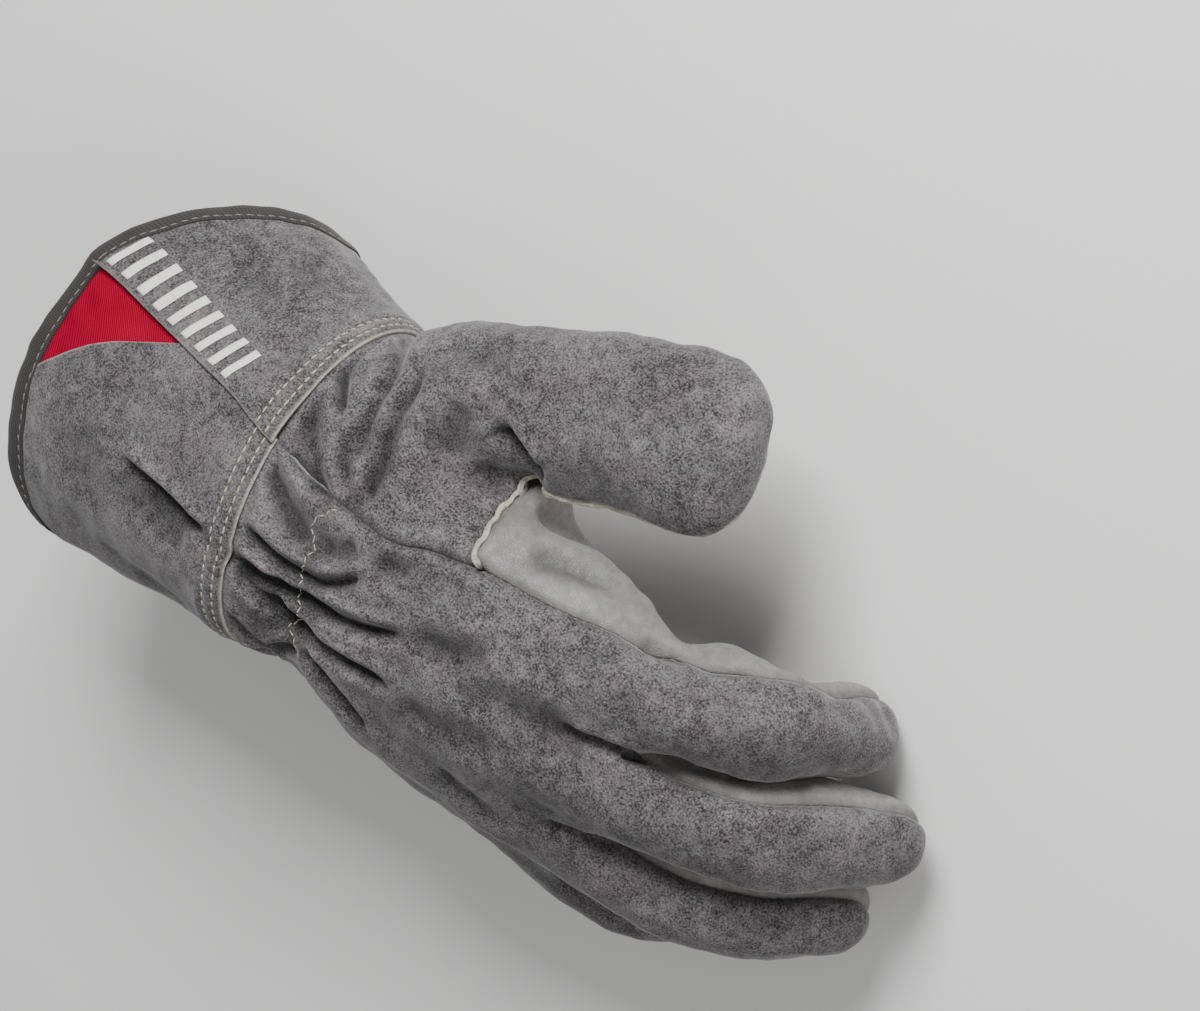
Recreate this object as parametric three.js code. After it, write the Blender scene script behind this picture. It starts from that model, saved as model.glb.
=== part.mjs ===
// A right-hand leather work glove with a safety cuff, lying palm down.
// Millimetres. +X runs to the fingertips, +Y to the thumb side, +Z up from the palm to the back of the hand.
// The glove is first shaped in the frame of the hand, whose zero is the middle of the wrist at the cuff seam.
// Its leather skin is one grid of points, cut into panels that are thickened inwards to closed walls.
import * as THREE from "three";

// Leather, tape and the clearances between sewn pieces
const LEATHER = 1.6;
const SEAM_GAP = 0.3;
const TAPE = 0.8;
const TAPE_LEG = 7;
const WELT_WIDTH = 1.5;
const WELT_HEIGHT = 1.8;
const WELT_LIFT = 0.8;

// Hand, from the cuff seam to the finger crotches
const HAND_LENGTH = 121;
const HAND_WIDTH = 104;
const HAND_DEPTH = 62;
const KNUCKLE_RADIUS = 86;
const KNUCKLE_TURN = -7.5;
const KNUCKLE_SIDE = 2.7;
const KNUCKLE_UP = -0.3;
const RIDGE_START = 0.42;
const RIDGE_EASE = 1.4;
const CROTCH_LEAN = 1.2;

// Fingers and thumb
const FINGER_LENGTH = 90;
const FINGER_WIDTH = 29;
const FINGER_DEPTH = 30;
const FINGER_PITCH = 29;
const LITTLE_SIZE = 0.92;
const THUMB_WIDTH = 48;
const THUMB_DEPTH = 31;
const THUMB_SPAN = 75;
const THUMB_REACH = 48;
const THUMB_OPENING = 63;
const THUMB_EASE = 0.4;
const THUMB_TIP_REACH = 1.6;
const THUMB_TIP_EASE = 0.6;

// Cuff, from the seam to the rim, its seam lap and its textile gusset
const CUFF_LENGTH = 66;
const CUFF_YAW = 18.8;
const CUFF_PITCH = 8.6;
const RIM_TILT = 12;
const RIM_LEAN = 12;
const RIM_BULGE = 7;
const LAP = 12;
const LAP_FRONT = 3;
const SEAM_TILT = 5;
const CUFF_LIFT = LEATHER + SEAM_GAP;
const PATCH_LIFT = CUFF_LIFT + SEAM_GAP + LEATHER;
const GUSSET_THICKNESS = 1.2;
const GUSSET_SINK = 0.4;

// How the glove lies: turned from the hand frame, with the outer leather within REST_PRESS of the floor flat
const REST_PITCH = -2.2;
const REST_ROLL = 15.7;
const REST_PRESS = 1.3;

// Columns round the hand: each finger has a top and a front of RUN cells and two sides of RUN cells
const RUN = 4;
const COLUMNS = 10 * RUN;
const SEAM_LITTLE = 5 * RUN;
const THUMB_COLUMNS = 10;
const THUMB_LAST_ROW = 6;
const GUSSET_CELLS = 6;
const PATCH_START = 21;
const PATCH_CELLS = 3;
const CUFF_SEAM_COLUMN = 26;

// Rows of the hand in mm from the cuff seam; the first lies under the cuff, the last is at the crotches
const HAND_ROWS = [
  LAP_FRONT - LAP,
  LAP_FRONT,
  ...[0.066, 0.165, 0.273, 0.388].map((row) => row * HAND_LENGTH),
  THUMB_OPENING,
  ...[0.645, 0.769, 0.884, 1].map((row) => row * HAND_LENGTH),
];

// Rows of the cuff above its lap up to the tip of the gusset, as shares of its length
const CUFF_SHARES = [0.24, 0.39, 0.54];

// Line through the middle of the glove: at is the share of the cuff (below 0) or of the hand (above 0),
// side and up are shares of the hand's width and depth.
const SPINE = [
  { at: 0, side: 0, up: 0 },
  { at: 0.25, side: 0.045, up: -0.03 },
  { at: 0.5, side: 0.02, up: -0.05 },
  { at: 0.75, side: -0.03, up: -0.1 },
  { at: 1, side: -0.08, up: -0.14 },
];

// Cross-sections along that line: half width and half depth as shares of the hand's width and depth,
// twist of the wide axis and angles of the thumb-side and little-side seams from it, in degrees.
const SECTIONS = [
  { at: -1, wide: 0.56, deep: 0.6, twist: -44, thumbSeam: 82, littleSeam: 215 },
  { at: -0.5, wide: 0.51, deep: 0.57, twist: -44, thumbSeam: 83, littleSeam: 215 },
  { at: 0, wide: 0.47, deep: 0.55, twist: -44, thumbSeam: 86, littleSeam: 215 },
  { at: 0.2, wide: 0.455, deep: 0.53, twist: -38, thumbSeam: 87, littleSeam: 210 },
  { at: 0.4, wide: 0.45, deep: 0.53, twist: -28, thumbSeam: 74, littleSeam: 200 },
  { at: 0.56, wide: 0.46, deep: 0.52, twist: -21, thumbSeam: 55, littleSeam: 193 },
  { at: 0.77, wide: 0.5, deep: 0.5, twist: -12, thumbSeam: 30, littleSeam: 185 },
  { at: 1, wide: 0.55, deep: 0.44, twist: -7.5, thumbSeam: 0, littleSeam: 180 },
];

// Fingers from the thumb side: row places the root round the knuckle arch in finger pitches,
// root and length are shares of the hand's and the finger's length, angles in degrees.
const FINGERS = [
  { name: "index", row: 1.5, root: 1.0, length: 0.91, spread: 17.5, bends: [36, 34, 17] },
  { name: "middle", row: 0.5, root: 1.04, length: 1.0, spread: 4.5, bends: [29, 25, 11] },
  { name: "ring", row: -0.5, root: 1.02, length: 0.92, spread: -4.5, bends: [21, 20, 10] },
  { name: "little", row: -1.45, root: 0.935, length: 0.73, spread: -12, bends: [18, 24, 12] },
];

// Finger shape along its length: half width, half depth on the back and on the front, as shares
const FINGER_SECTIONS = [
  { at: 0, wide: 0.5, back: 0.5, front: 0.5 },
  { at: 0.12, wide: 0.465, back: 0.5, front: 0.53 },
  { at: 0.4, wide: 0.465, back: 0.5, front: 0.5 },
  { at: 0.6, wide: 0.46, back: 0.49, front: 0.5 },
  { at: 0.85, wide: 0.44, back: 0.43, front: 0.46 },
  { at: 1, wide: 0.41, back: 0.4, front: 0.42 },
];
const FINGER_RINGS = [0.08, 0.2, 0.34, 0.47, 0.6, 0.73, 0.86, 1];
const FINGER_JOINTS = [0.02, 0.44, 0.76];
const JOINT_LENGTH = 0.22;
const BEND_STEPS = 40;
const CAP_ANGLES = [32, 60, 80];
const SECTION_ANGLES = [0, 20, 40, 65, 90, 115, 140, 160, 180, 200, 220, 245, 270, 295, 320, 340];

// Thumb line, as shares of the thumb's span along the hand and its reach to the side,
// with half width and half depth as shares of the thumb's width and depth.
const THUMB_SECTIONS = [
  { along: 0.5, side: 1.24, up: -0.47, wide: 0.43, deep: 0.5 },
  { along: 0.66, side: 1.39, up: -0.54, wide: 0.46, deep: 0.5 },
  { along: 0.81, side: 1.52, up: -0.59, wide: 0.49, deep: 0.48 },
  { along: 0.96, side: 1.645, up: -0.63, wide: 0.51, deep: 0.46 },
  { along: 1.12, side: 1.77, up: -0.675, wide: 0.51, deep: 0.42 },
];
const THUMB_BACK = [0.36, 0.706, 0.611];
const THUMB_BLEND = [0.22, 0.45, 0.7];
const LEAVE_PASSES = 3;

// Folds and dents of the leather, each a line on the skin from one row and column to another.
// Rows are in shares of the hand (above 0) or the cuff (below 0); depth and width are shares of the largest.
const FOLD_DEPTH = 3;
const FOLD_WIDTH = 9;
const GIRTH = 2.6 * HAND_WIDTH;
const FOLDS = [
  { from: [0.22, 1], to: [0.22, 17], depth: 1, width: 1 },
  { from: [0.24, 3], to: [0.5, 6], depth: 0.6, width: 0.7 },
  { from: [0.26, 9], to: [0.6, 11], depth: 0.7, width: 0.8 },
  { from: [0.08, 6], to: [0.2, 8], depth: 0.5, width: 0.7 },
  { from: [-0.75, 12], to: [-0.2, 14], depth: 0.7, width: 1 },
];

// Share of the glove's length over which its direction is taken, and the least turn of a panel's corner
const SPINE_STEP = 0.12;
const CORNER_TURN = 0.5;

const rad = THREE.MathUtils.degToRad;
const vec = (x, y, z) => new THREE.Vector3(x, y, z);

// Value of one column of a table at a place between its rows, on a smooth curve through them
function sample(table, key, at) {
  const last = table.length - 1;
  let i = 0;
  while (i < last - 1 && at > table[i + 1].at) {
    i += 1;
  }
  const slope = (k) => {
    const a = table[Math.max(k - 1, 0)];
    const b = table[Math.min(k + 1, last)];
    return (b[key] - a[key]) / (b.at - a.at);
  };
  const [p, q] = [table[i], table[i + 1]];
  const span = q.at - p.at;
  const t = THREE.MathUtils.clamp((at - p.at) / span, 0, 1);
  const h00 = 2 * t ** 3 - 3 * t ** 2 + 1;
  const h10 = t ** 3 - 2 * t ** 2 + t;
  const h01 = 3 * t ** 2 - 2 * t ** 3;
  const h11 = t ** 3 - t ** 2;
  return h00 * p[key] + h10 * span * slope(i) + h01 * q[key] + h11 * span * slope(i + 1);
}

const smooth = (t) => THREE.MathUtils.smoothstep(t, 0, 1);

// Place along the glove of a distance from the cuff seam, which runs back on the thumb's side of the wrist
function share(mm, column = SEAM_LITTLE / 2) {
  const fade = smooth(1 - Math.abs(mm) / (HAND_LENGTH / 2));
  const run = mm - SEAM_TILT * fade * Math.cos(rad(columnAngle(0, column)));
  return run < 0 ? run / CUFF_LENGTH : run / HAND_LENGTH;
}

// Middle of the glove at a place along it
function spine(at) {
  if (at < 0) {
    const yaw = rad(CUFF_YAW);
    const pitch = rad(CUFF_PITCH);
    const run = at * CUFF_LENGTH;
    return vec(run * Math.cos(yaw) * Math.cos(pitch), run * Math.sin(yaw), run * Math.sin(pitch));
  }
  return vec(at * HAND_LENGTH, sample(SPINE, "side", at) * HAND_WIDTH, sample(SPINE, "up", at) * HAND_DEPTH);
}

// Frame of a cross-section: its middle, the direction along the glove, and its side and up directions
function sectionFrame(at) {
  const along = spine(at + SPINE_STEP).sub(spine(at - SPINE_STEP)).normalize();
  const side = vec(0, 1, 0).addScaledVector(along, -along.y).normalize();
  const up = along.clone().cross(side);
  return { middle: spine(at), along, side, up };
}

// Angle of a grid column round a cross-section, from its wide axis
function columnAngle(at, column) {
  const thumbSeam = sample(SECTIONS, "thumbSeam", at);
  const littleSeam = sample(SECTIONS, "littleSeam", at);
  if (column <= SEAM_LITTLE) {
    return THREE.MathUtils.lerp(thumbSeam, littleSeam, column / SEAM_LITTLE);
  }
  return THREE.MathUtils.lerp(littleSeam, thumbSeam + 360, column / SEAM_LITTLE - 1);
}

// How far the folds press the skin in at a place on the grid
function foldDepth(at, column) {
  let depth = 0;
  for (const fold of FOLDS) {
    const scale = [at < 0 ? CUFF_LENGTH : HAND_LENGTH, GIRTH / COLUMNS];
    const point = new THREE.Vector2(at * scale[0], column * scale[1]);
    const from = new THREE.Vector2(fold.from[0] * scale[0], fold.from[1] * scale[1]);
    const line = new THREE.Vector2(fold.to[0] * scale[0], fold.to[1] * scale[1]).sub(from);
    const along = THREE.MathUtils.clamp(point.clone().sub(from).dot(line) / line.lengthSq(), 0, 1);
    const off = point.distanceTo(from.addScaledVector(line, along)) / (fold.width * FOLD_WIDTH);
    depth += fold.depth * FOLD_DEPTH * Math.exp(-off * off);
  }
  return depth;
}

// Point of the smooth tube of cuff and hand; lift moves it out of the surface
function tubePoint(at, column, lift = 0) {
  const frame = sectionFrame(at);
  const angle = rad(columnAngle(at, column));
  const twist = rad(sample(SECTIONS, "twist", at));
  const out = lift - foldDepth(at, column);
  const wide = sample(SECTIONS, "wide", at) * HAND_WIDTH + out;
  const deep = sample(SECTIONS, "deep", at) * HAND_DEPTH + out;
  const a = wide * Math.cos(angle);
  const b = deep * Math.sin(angle);
  const y = a * Math.cos(twist) - b * Math.sin(twist);
  const z = a * Math.sin(twist) + b * Math.cos(twist);
  return frame.middle.addScaledVector(frame.side, y).addScaledVector(frame.up, z);
}

// Directions of a finger at its root: forward, to the thumb side, and out of its back
function fingerFrame(finger) {
  const arch = (finger.row * FINGER_PITCH) / KNUCKLE_RADIUS + rad(KNUCKLE_TURN);
  const spread = rad(finger.spread);
  const across = vec(0, Math.cos(arch), -Math.sin(arch));
  const back = vec(0, Math.sin(arch), Math.cos(arch));
  const ahead = vec(1, 0, 0).multiplyScalar(Math.cos(spread)).addScaledVector(across, Math.sin(spread));
  const side = vec(-1, 0, 0).multiplyScalar(Math.sin(spread)).addScaledVector(across, Math.cos(spread));
  const y = KNUCKLE_SIDE + KNUCKLE_RADIUS * Math.sin(arch);
  const z = KNUCKLE_UP + KNUCKLE_RADIUS * (Math.cos(arch) - 1);
  return { root: vec(finger.root * HAND_LENGTH, y, z), ahead, side, back };
}

// Middle and directions of a finger at a share of its length, bent smoothly at its three joints
function fingerPlace(finger, at) {
  const frame = fingerFrame(finger);
  const bendAt = (share) => finger.bends.reduce((sum, bend, joint) => {
    const start = FINGER_JOINTS[joint] - JOINT_LENGTH / 2;
    return sum + rad(bend) * smooth((share - start) / JOINT_LENGTH);
  }, 0);
  const reach = finger.length * FINGER_LENGTH - FINGER_WIDTH * sample(FINGER_SECTIONS, "wide", 1);
  const step = (reach * at) / BEND_STEPS;
  const middle = frame.root.clone();
  for (let i = 0; i < BEND_STEPS; i += 1) {
    const bend = bendAt(((i + 0.5) / BEND_STEPS) * at);
    middle.addScaledVector(frame.ahead, Math.cos(bend) * step);
    middle.addScaledVector(frame.back, -Math.sin(bend) * step);
  }
  const bend = bendAt(at);
  const ahead = frame.ahead.clone().multiplyScalar(Math.cos(bend)).addScaledVector(frame.back, -Math.sin(bend));
  const back = frame.ahead.clone().multiplyScalar(Math.sin(bend)).addScaledVector(frame.back, Math.cos(bend));
  return { middle, ahead, side: frame.side, back };
}

const fingerSize = (finger) => (finger.name === "little" ? LITTLE_SIZE : 1);

// One ring of a finger; cap is the angle round the fingertip, 0 on the finger itself
function fingerRing(finger, at, cap = 0) {
  const place = fingerPlace(finger, at);
  const size = fingerSize(finger);
  const wide = sample(FINGER_SECTIONS, "wide", at) * FINGER_WIDTH * (at > 0 ? size : 1);
  const shrink = Math.cos(rad(cap));
  const middle = place.middle.addScaledVector(place.ahead, wide * Math.sin(rad(cap)));
  return SECTION_ANGLES.map((angle) => {
    const face = Math.sin(rad(angle)) > 0 ? "back" : "front";
    const deep = sample(FINGER_SECTIONS, face, at) * FINGER_DEPTH * size;
    return middle.clone()
      .addScaledVector(place.side, wide * shrink * Math.cos(rad(angle)))
      .addScaledVector(place.back, deep * shrink * Math.sin(rad(angle)));
  });
}

// A surface has points, their outward normals where set by hand, and faces with the name of their panel
function addPoint(surface, point) {
  surface.points.push(point);
  return surface.points.length - 1;
}

// A four-sided cell, cut along its a-c diagonal; each half has its panel's name, or none if it is left out
function addCell(surface, a, b, c, d, panel, otherPanel = panel) {
  if (panel) {
    surface.faces.push({ corners: [a, b, c], panel });
  }
  if (otherPanel) {
    surface.faces.push({ corners: [a, c, d], panel: otherPanel });
  }
}

// Cells between two rings of the same count, which run from the wrist to the tips
function addBand(surface, near, far, panelOf) {
  for (let i = 0; i < near.length; i += 1) {
    const j = (i + 1) % near.length;
    addCell(surface, near[i], near[j], far[j], far[i], panelOf(i));
  }
}

function addTip(surface, ring, pole, panelOf) {
  const tip = addPoint(surface, pole);
  ring.forEach((point, i) => {
    surface.faces.push({ corners: [point, ring[(i + 1) % ring.length], tip], panel: panelOf(i) });
  });
}

// Root rings of the fingers: neighbours share the points of the crotch between them
function rootRings(surface) {
  const rings = FINGERS.map((finger) => fingerRing(finger, 0));
  const shared = [[6, 2], [7, 1], [8, 0], [9, 15], [10, 14]];
  const indices = rings.map(() => new Array(SECTION_ANGLES.length).fill(-1));
  for (let f = 0; f + 1 < rings.length; f += 1) {
    const ahead = fingerPlace(FINGERS[f], 0).ahead.add(fingerPlace(FINGERS[f + 1], 0).ahead).normalize();
    const back = fingerPlace(FINGERS[f], 0).back;
    for (const [mine, next] of shared) {
      const point = rings[f][mine].clone().add(rings[f + 1][next]).multiplyScalar(0.5);
      const index = addPoint(surface, point);
      const lean = mine === 6 ? CROTCH_LEAN : mine === 10 ? -CROTCH_LEAN : 0;
      surface.normals.set(index, ahead.clone().addScaledVector(back, lean).normalize());
      indices[f][mine] = index;
      indices[f + 1][next] = index;
    }
  }
  rings.forEach((ring, f) => ring.forEach((point, k) => {
    if (indices[f][k] < 0) {
      indices[f][k] = addPoint(surface, point);
    }
  }));
  return indices;
}

// The loop of all root points round the four fingers, from the thumb-side seam over the back
function rootLoop(roots) {
  const loop = roots[0].slice(0, 2);
  for (let f = 0; f < roots.length; f += 1) {
    loop.push(...roots[f].slice(2, 6));
  }
  loop.push(...roots[3].slice(6, 10));
  for (let f = roots.length - 1; f >= 0; f -= 1) {
    loop.push(...roots[f].slice(10, 14));
  }
  loop.push(...roots[0].slice(14, 16));
  return loop;
}

// Rows of the hand: the smooth tube, drawn towards the finger roots as metacarpal ridges near them
function handGrid(surface, loop) {
  const last = HAND_ROWS.length - 1;
  const offsets = loop.map((index, column) => surface.points[index].clone().sub(tubePoint(1, column)));
  return HAND_ROWS.map((mm, row) => {
    if (row === last) {
      return loop;
    }
    const ridge = smooth((mm / HAND_LENGTH - RIDGE_START) / (1 - RIDGE_START)) ** RIDGE_EASE;
    return offsets.map((offset, column) => {
      const point = tubePoint(share(mm, column), column).addScaledVector(offset, ridge);
      return addPoint(surface, point);
    });
  });
}

const handPanel = (column) => (column < SEAM_LITTLE ? "back" : "palm");

function buildHand(surface, grid) {
  const thumbStart = COLUMNS - THUMB_COLUMNS;
  for (let row = 0; row + 1 < grid.length; row += 1) {
    for (let column = 0; column < COLUMNS; column += 1) {
      const next = (column + 1) % COLUMNS;
      const atThumb = column >= thumbStart;
      const open = atThumb && row >= 2 && row < THUMB_LAST_ROW;
      if (!open) {
        const panel = atThumb && row < 2 ? "thumb_back" : handPanel(column);
        addCell(surface, grid[row][column], grid[row][next], grid[row + 1][next], grid[row + 1][column], panel);
      }
    }
  }
}

function buildFingers(surface, roots) {
  FINGERS.forEach((finger, f) => {
    const front = f === 1 || f === 2 ? "finger_fronts" : "palm";
    const panelOf = (cell) => (cell < 2 * RUN ? "back" : front);
    let ring = roots[f];
    for (const at of FINGER_RINGS) {
      const next = fingerRing(finger, at).map((point) => addPoint(surface, point));
      addBand(surface, ring, next, panelOf);
      ring = next;
    }
    for (const cap of CAP_ANGLES) {
      const next = fingerRing(finger, 1, cap).map((point) => addPoint(surface, point));
      addBand(surface, ring, next, panelOf);
      ring = next;
    }
    const place = fingerPlace(finger, 1);
    const wide = sample(FINGER_SECTIONS, "wide", 1) * FINGER_WIDTH * fingerSize(finger);
    addTip(surface, ring, place.middle.addScaledVector(place.ahead, wide), panelOf);
  });
}

// Middle, directions and half sizes of the thumb at one row of its table
function thumbPlace(index) {
  const spot = (row) => vec(row.along * THUMB_SPAN, row.side * THUMB_REACH, row.up * THUMB_REACH);
  const before = spot(THUMB_SECTIONS[Math.max(index - 1, 0)]);
  const after = spot(THUMB_SECTIONS[Math.min(index + 1, THUMB_SECTIONS.length - 1)]);
  const ahead = after.sub(before).normalize();
  const facing = vec(...THUMB_BACK);
  const down = ahead.clone().cross(facing).normalize();
  const back = down.clone().cross(ahead);
  const row = THUMB_SECTIONS[index];
  return { middle: spot(row), ahead, down, back, wide: row.wide * THUMB_WIDTH, deep: row.deep * THUMB_DEPTH };
}

// The opening that the thumb grows from, as a loop of skin points with the way the skin leaves each of them.
// It starts at the web, runs down the seam on the back, along the cuff, and round the ball of the thumb.
function thumbLoop(surface, grid) {
  const start = COLUMNS - THUMB_COLUMNS;
  const cell = (row, column) => grid[row][column % COLUMNS];
  const loop = [];
  const put = (row, column, inRow, inColumn) => {
    const index = cell(row, column);
    const from = surface.points[cell(row + inRow, column + inColumn)];
    loop.push({ index, leave: surface.points[index].clone().sub(from).normalize(), straight: row === 2 });
  };
  for (let row = THUMB_LAST_ROW; row > 2; row -= 1) {
    put(row, COLUMNS, 0, 1);
  }
  for (let column = COLUMNS; column > start; column -= 1) {
    put(2, column, -1, 0);
  }
  for (let row = 2; row < THUMB_LAST_ROW; row += 1) {
    put(row, start, 0, -1);
  }
  for (let column = start; column < COLUMNS; column += 1) {
    put(THUMB_LAST_ROW, column, 1, 0);
  }
  for (let pass = 0; pass < LEAVE_PASSES; pass += 1) {
    const turned = loop.map(({ leave }, i) => {
      const before = loop[(i + loop.length - 1) % loop.length].leave;
      const after = loop[(i + 1) % loop.length].leave;
      return leave.clone().multiplyScalar(2).add(before).add(after).normalize();
    });
    turned.forEach((leave, i) => loop[i].leave.copy(leave));
  }
  return loop;
}

// Builds the thumb and gives the points of the seam round it, from the web over the tip to the cuff
function buildThumb(surface, grid) {
  const loop = thumbLoop(surface, grid);
  const backCount = THUMB_LAST_ROW - 2 + THUMB_COLUMNS;
  const frontCount = loop.length - backCount;
  const angleOf = (i) => (i <= backCount
    ? (180 * i) / backCount
    : 180 + (180 * (i - backCount)) / frontCount);
  const ringAt = (place, cap = 0) => loop.map((_, i) => {
    const angle = rad(angleOf(i));
    return place.middle.clone()
      .addScaledVector(place.ahead, place.deep * THUMB_TIP_REACH * Math.sin(rad(cap)))
      .addScaledVector(place.down, place.wide * Math.cos(rad(cap)) ** THUMB_TIP_EASE * Math.cos(angle))
      .addScaledVector(place.back, place.deep * Math.cos(rad(cap)) * Math.sin(angle));
  });
  const panelOf = (i) => (i < backCount ? "thumb_back" : "palm");
  const first = thumbPlace(0);
  const firstRing = ringAt(first);
  const rings = THUMB_BLEND.map((t) => loop.map((item, i) => {
    const start = surface.points[item.index];
    const reach = firstRing[i].distanceTo(start);
    const leave = item.straight ? firstRing[i].clone().sub(start).normalize() : item.leave;
    const a = start.clone().addScaledVector(leave, reach * THUMB_EASE);
    const b = firstRing[i].clone().addScaledVector(first.ahead, -reach * THUMB_EASE);
    return new THREE.CubicBezierCurve3(start, a, b, firstRing[i]).getPoint(t);
  }));
  const end = thumbPlace(THUMB_SECTIONS.length - 1);
  rings.push(...THUMB_SECTIONS.map((_, index) => ringAt(thumbPlace(index))));
  rings.push(...CAP_ANGLES.map((cap) => ringAt(end, cap)));

  let ring = loop.map((item) => item.index);
  const seams = [[ring[0]], [ring[backCount]]];
  for (const points of rings) {
    const next = points.map((point) => addPoint(surface, point));
    for (let i = 0; i < ring.length; i += 1) {
      const j = (i + 1) % ring.length;
      addCell(surface, ring[i], next[i], next[j], ring[j], panelOf(i));
    }
    ring = next;
    seams[0].push(ring[0]);
    seams[1].push(ring[backCount]);
  }
  const tip = addPoint(surface, end.middle.clone().addScaledVector(end.ahead, end.deep * THUMB_TIP_REACH));
  for (let i = 0; i < ring.length; i += 1) {
    surface.faces.push({ corners: [ring[i], tip, ring[(i + 1) % ring.length]], panel: panelOf(i) });
  }
  return [...seams[0], tip, ...seams[1].reverse()];
}

// Length of the cuff along one column: longest on the back of the hand, shortest above the thumb
function cuffLength(column) {
  const angle = rad(columnAngle(-1, column));
  const around = -RIM_TILT * Math.cos(angle) + RIM_LEAN * Math.sin(angle);
  return CUFF_LENGTH + around + RIM_BULGE * Math.sin(angle) ** 2;
}

// The cuff is a second skin over the wrist, lapped over the end of the hand, with points in rows to the rim
function cuffGrid(surface, lift) {
  const apex = CUFF_SHARES[CUFF_SHARES.length - 1];
  const shares = [...CUFF_SHARES];
  for (let k = 1; k <= GUSSET_CELLS; k += 1) {
    shares.push(apex + ((1 - apex) * k) / GUSSET_CELLS);
  }
  const rowAt = (row, column) => (row < 2
    ? share(HAND_ROWS[1 - row], column)
    : share(-shares[row - 2] * cuffLength(column), column));
  const rows = [];
  for (let row = 0; row < shares.length + 2; row += 1) {
    const points = [];
    for (let column = 0; column < COLUMNS; column += 1) {
      points.push(addPoint(surface, tubePoint(rowAt(row, column), column, lift)));
    }
    rows.push(points);
  }
  return rows;
}

// How a cuff cell is cut in two: the gusset and the patch have slanting edges that run along cell diagonals
function isTurned(row, column) {
  const apexRow = CUFF_SHARES.length + 1;
  const onGusset = column === row - apexRow && column < GUSSET_CELLS;
  const onPatch = row >= 1 && row <= PATCH_CELLS && column === PATCH_START + row - 1;
  return onGusset || onPatch;
}

function addCuffCell(surface, rows, row, column, panel, otherPanel) {
  const next = (column + 1) % COLUMNS;
  const corners = [rows[row + 1][column], rows[row + 1][next], rows[row][next], rows[row][column]];
  const turned = isTurned(row, column) ? [...corners.slice(1), corners[0]] : corners;
  addCell(surface, ...turned, panel, otherPanel);
}

function buildCuff(surface) {
  const rows = cuffGrid(surface, CUFF_LIFT);
  const apexRow = CUFF_SHARES.length + 1;
  for (let row = 0; row + 1 < rows.length; row += 1) {
    for (let column = 0; column < COLUMNS; column += 1) {
      const side = column < CUFF_SEAM_COLUMN ? "cuff_little_side" : "cuff_thumb_side";
      const inGusset = column < GUSSET_CELLS && column < row - apexRow;
      const onEdge = column < GUSSET_CELLS && column === row - apexRow;
      const lower = inGusset ? "cuff_gusset" : side;
      const upper = inGusset || onEdge ? "cuff_gusset" : side;
      addCuffCell(surface, rows, row, column, lower, upper);
    }
  }
  return rows;
}

// The pointed leather patch over the veins of the wrist, laid on the palm side of the cuff
function buildPatch(surface) {
  const rows = cuffGrid(surface, PATCH_LIFT);
  for (let row = 0; row <= PATCH_CELLS; row += 1) {
    const inset = Math.max(row - 1, 0);
    const first = PATCH_START + inset;
    const last = PATCH_START + 2 * PATCH_CELLS - 1 - inset;
    for (let column = first; column <= last; column += 1) {
      const onFirst = row > 0 && column === first;
      const onLast = row > 0 && column === last;
      addCuffCell(surface, rows, row, column, onLast ? "" : "vein_patch", onFirst ? "" : "vein_patch");
    }
  }
}

// Outward normals of all points of a surface, by the area of the faces round them
function vertexNormals(surface) {
  const normals = surface.points.map(() => vec(0, 0, 0));
  for (const face of surface.faces) {
    const cross = faceNormal(surface, face);
    face.corners.forEach((corner) => normals[corner].add(cross));
  }
  normals.forEach((normal, i) => normal.copy(surface.normals.get(i) ?? normal).normalize());
  return normals;
}

function faceNormal(surface, face) {
  const [a, b, c] = face.corners.map((corner) => surface.points[corner]);
  return b.clone().sub(a).cross(c.clone().sub(a));
}

// Edges that only one face of a panel has, each with its direction
function openEdges(surface, faces) {
  const pairs = faces.flatMap(({ corners }) => corners.map((a, i) => `${a},${corners[(i + 1) % 3]}`));
  const seen = new Set(pairs);
  const edges = [];
  for (const face of faces) {
    face.corners.forEach((a, i) => {
      const b = face.corners[(i + 1) % 3];
      if (!seen.has(`${b},${a}`)) {
        edges.push({ a, b, run: surface.points[b].clone().sub(surface.points[a]) });
      }
    });
  }
  return edges;
}

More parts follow.
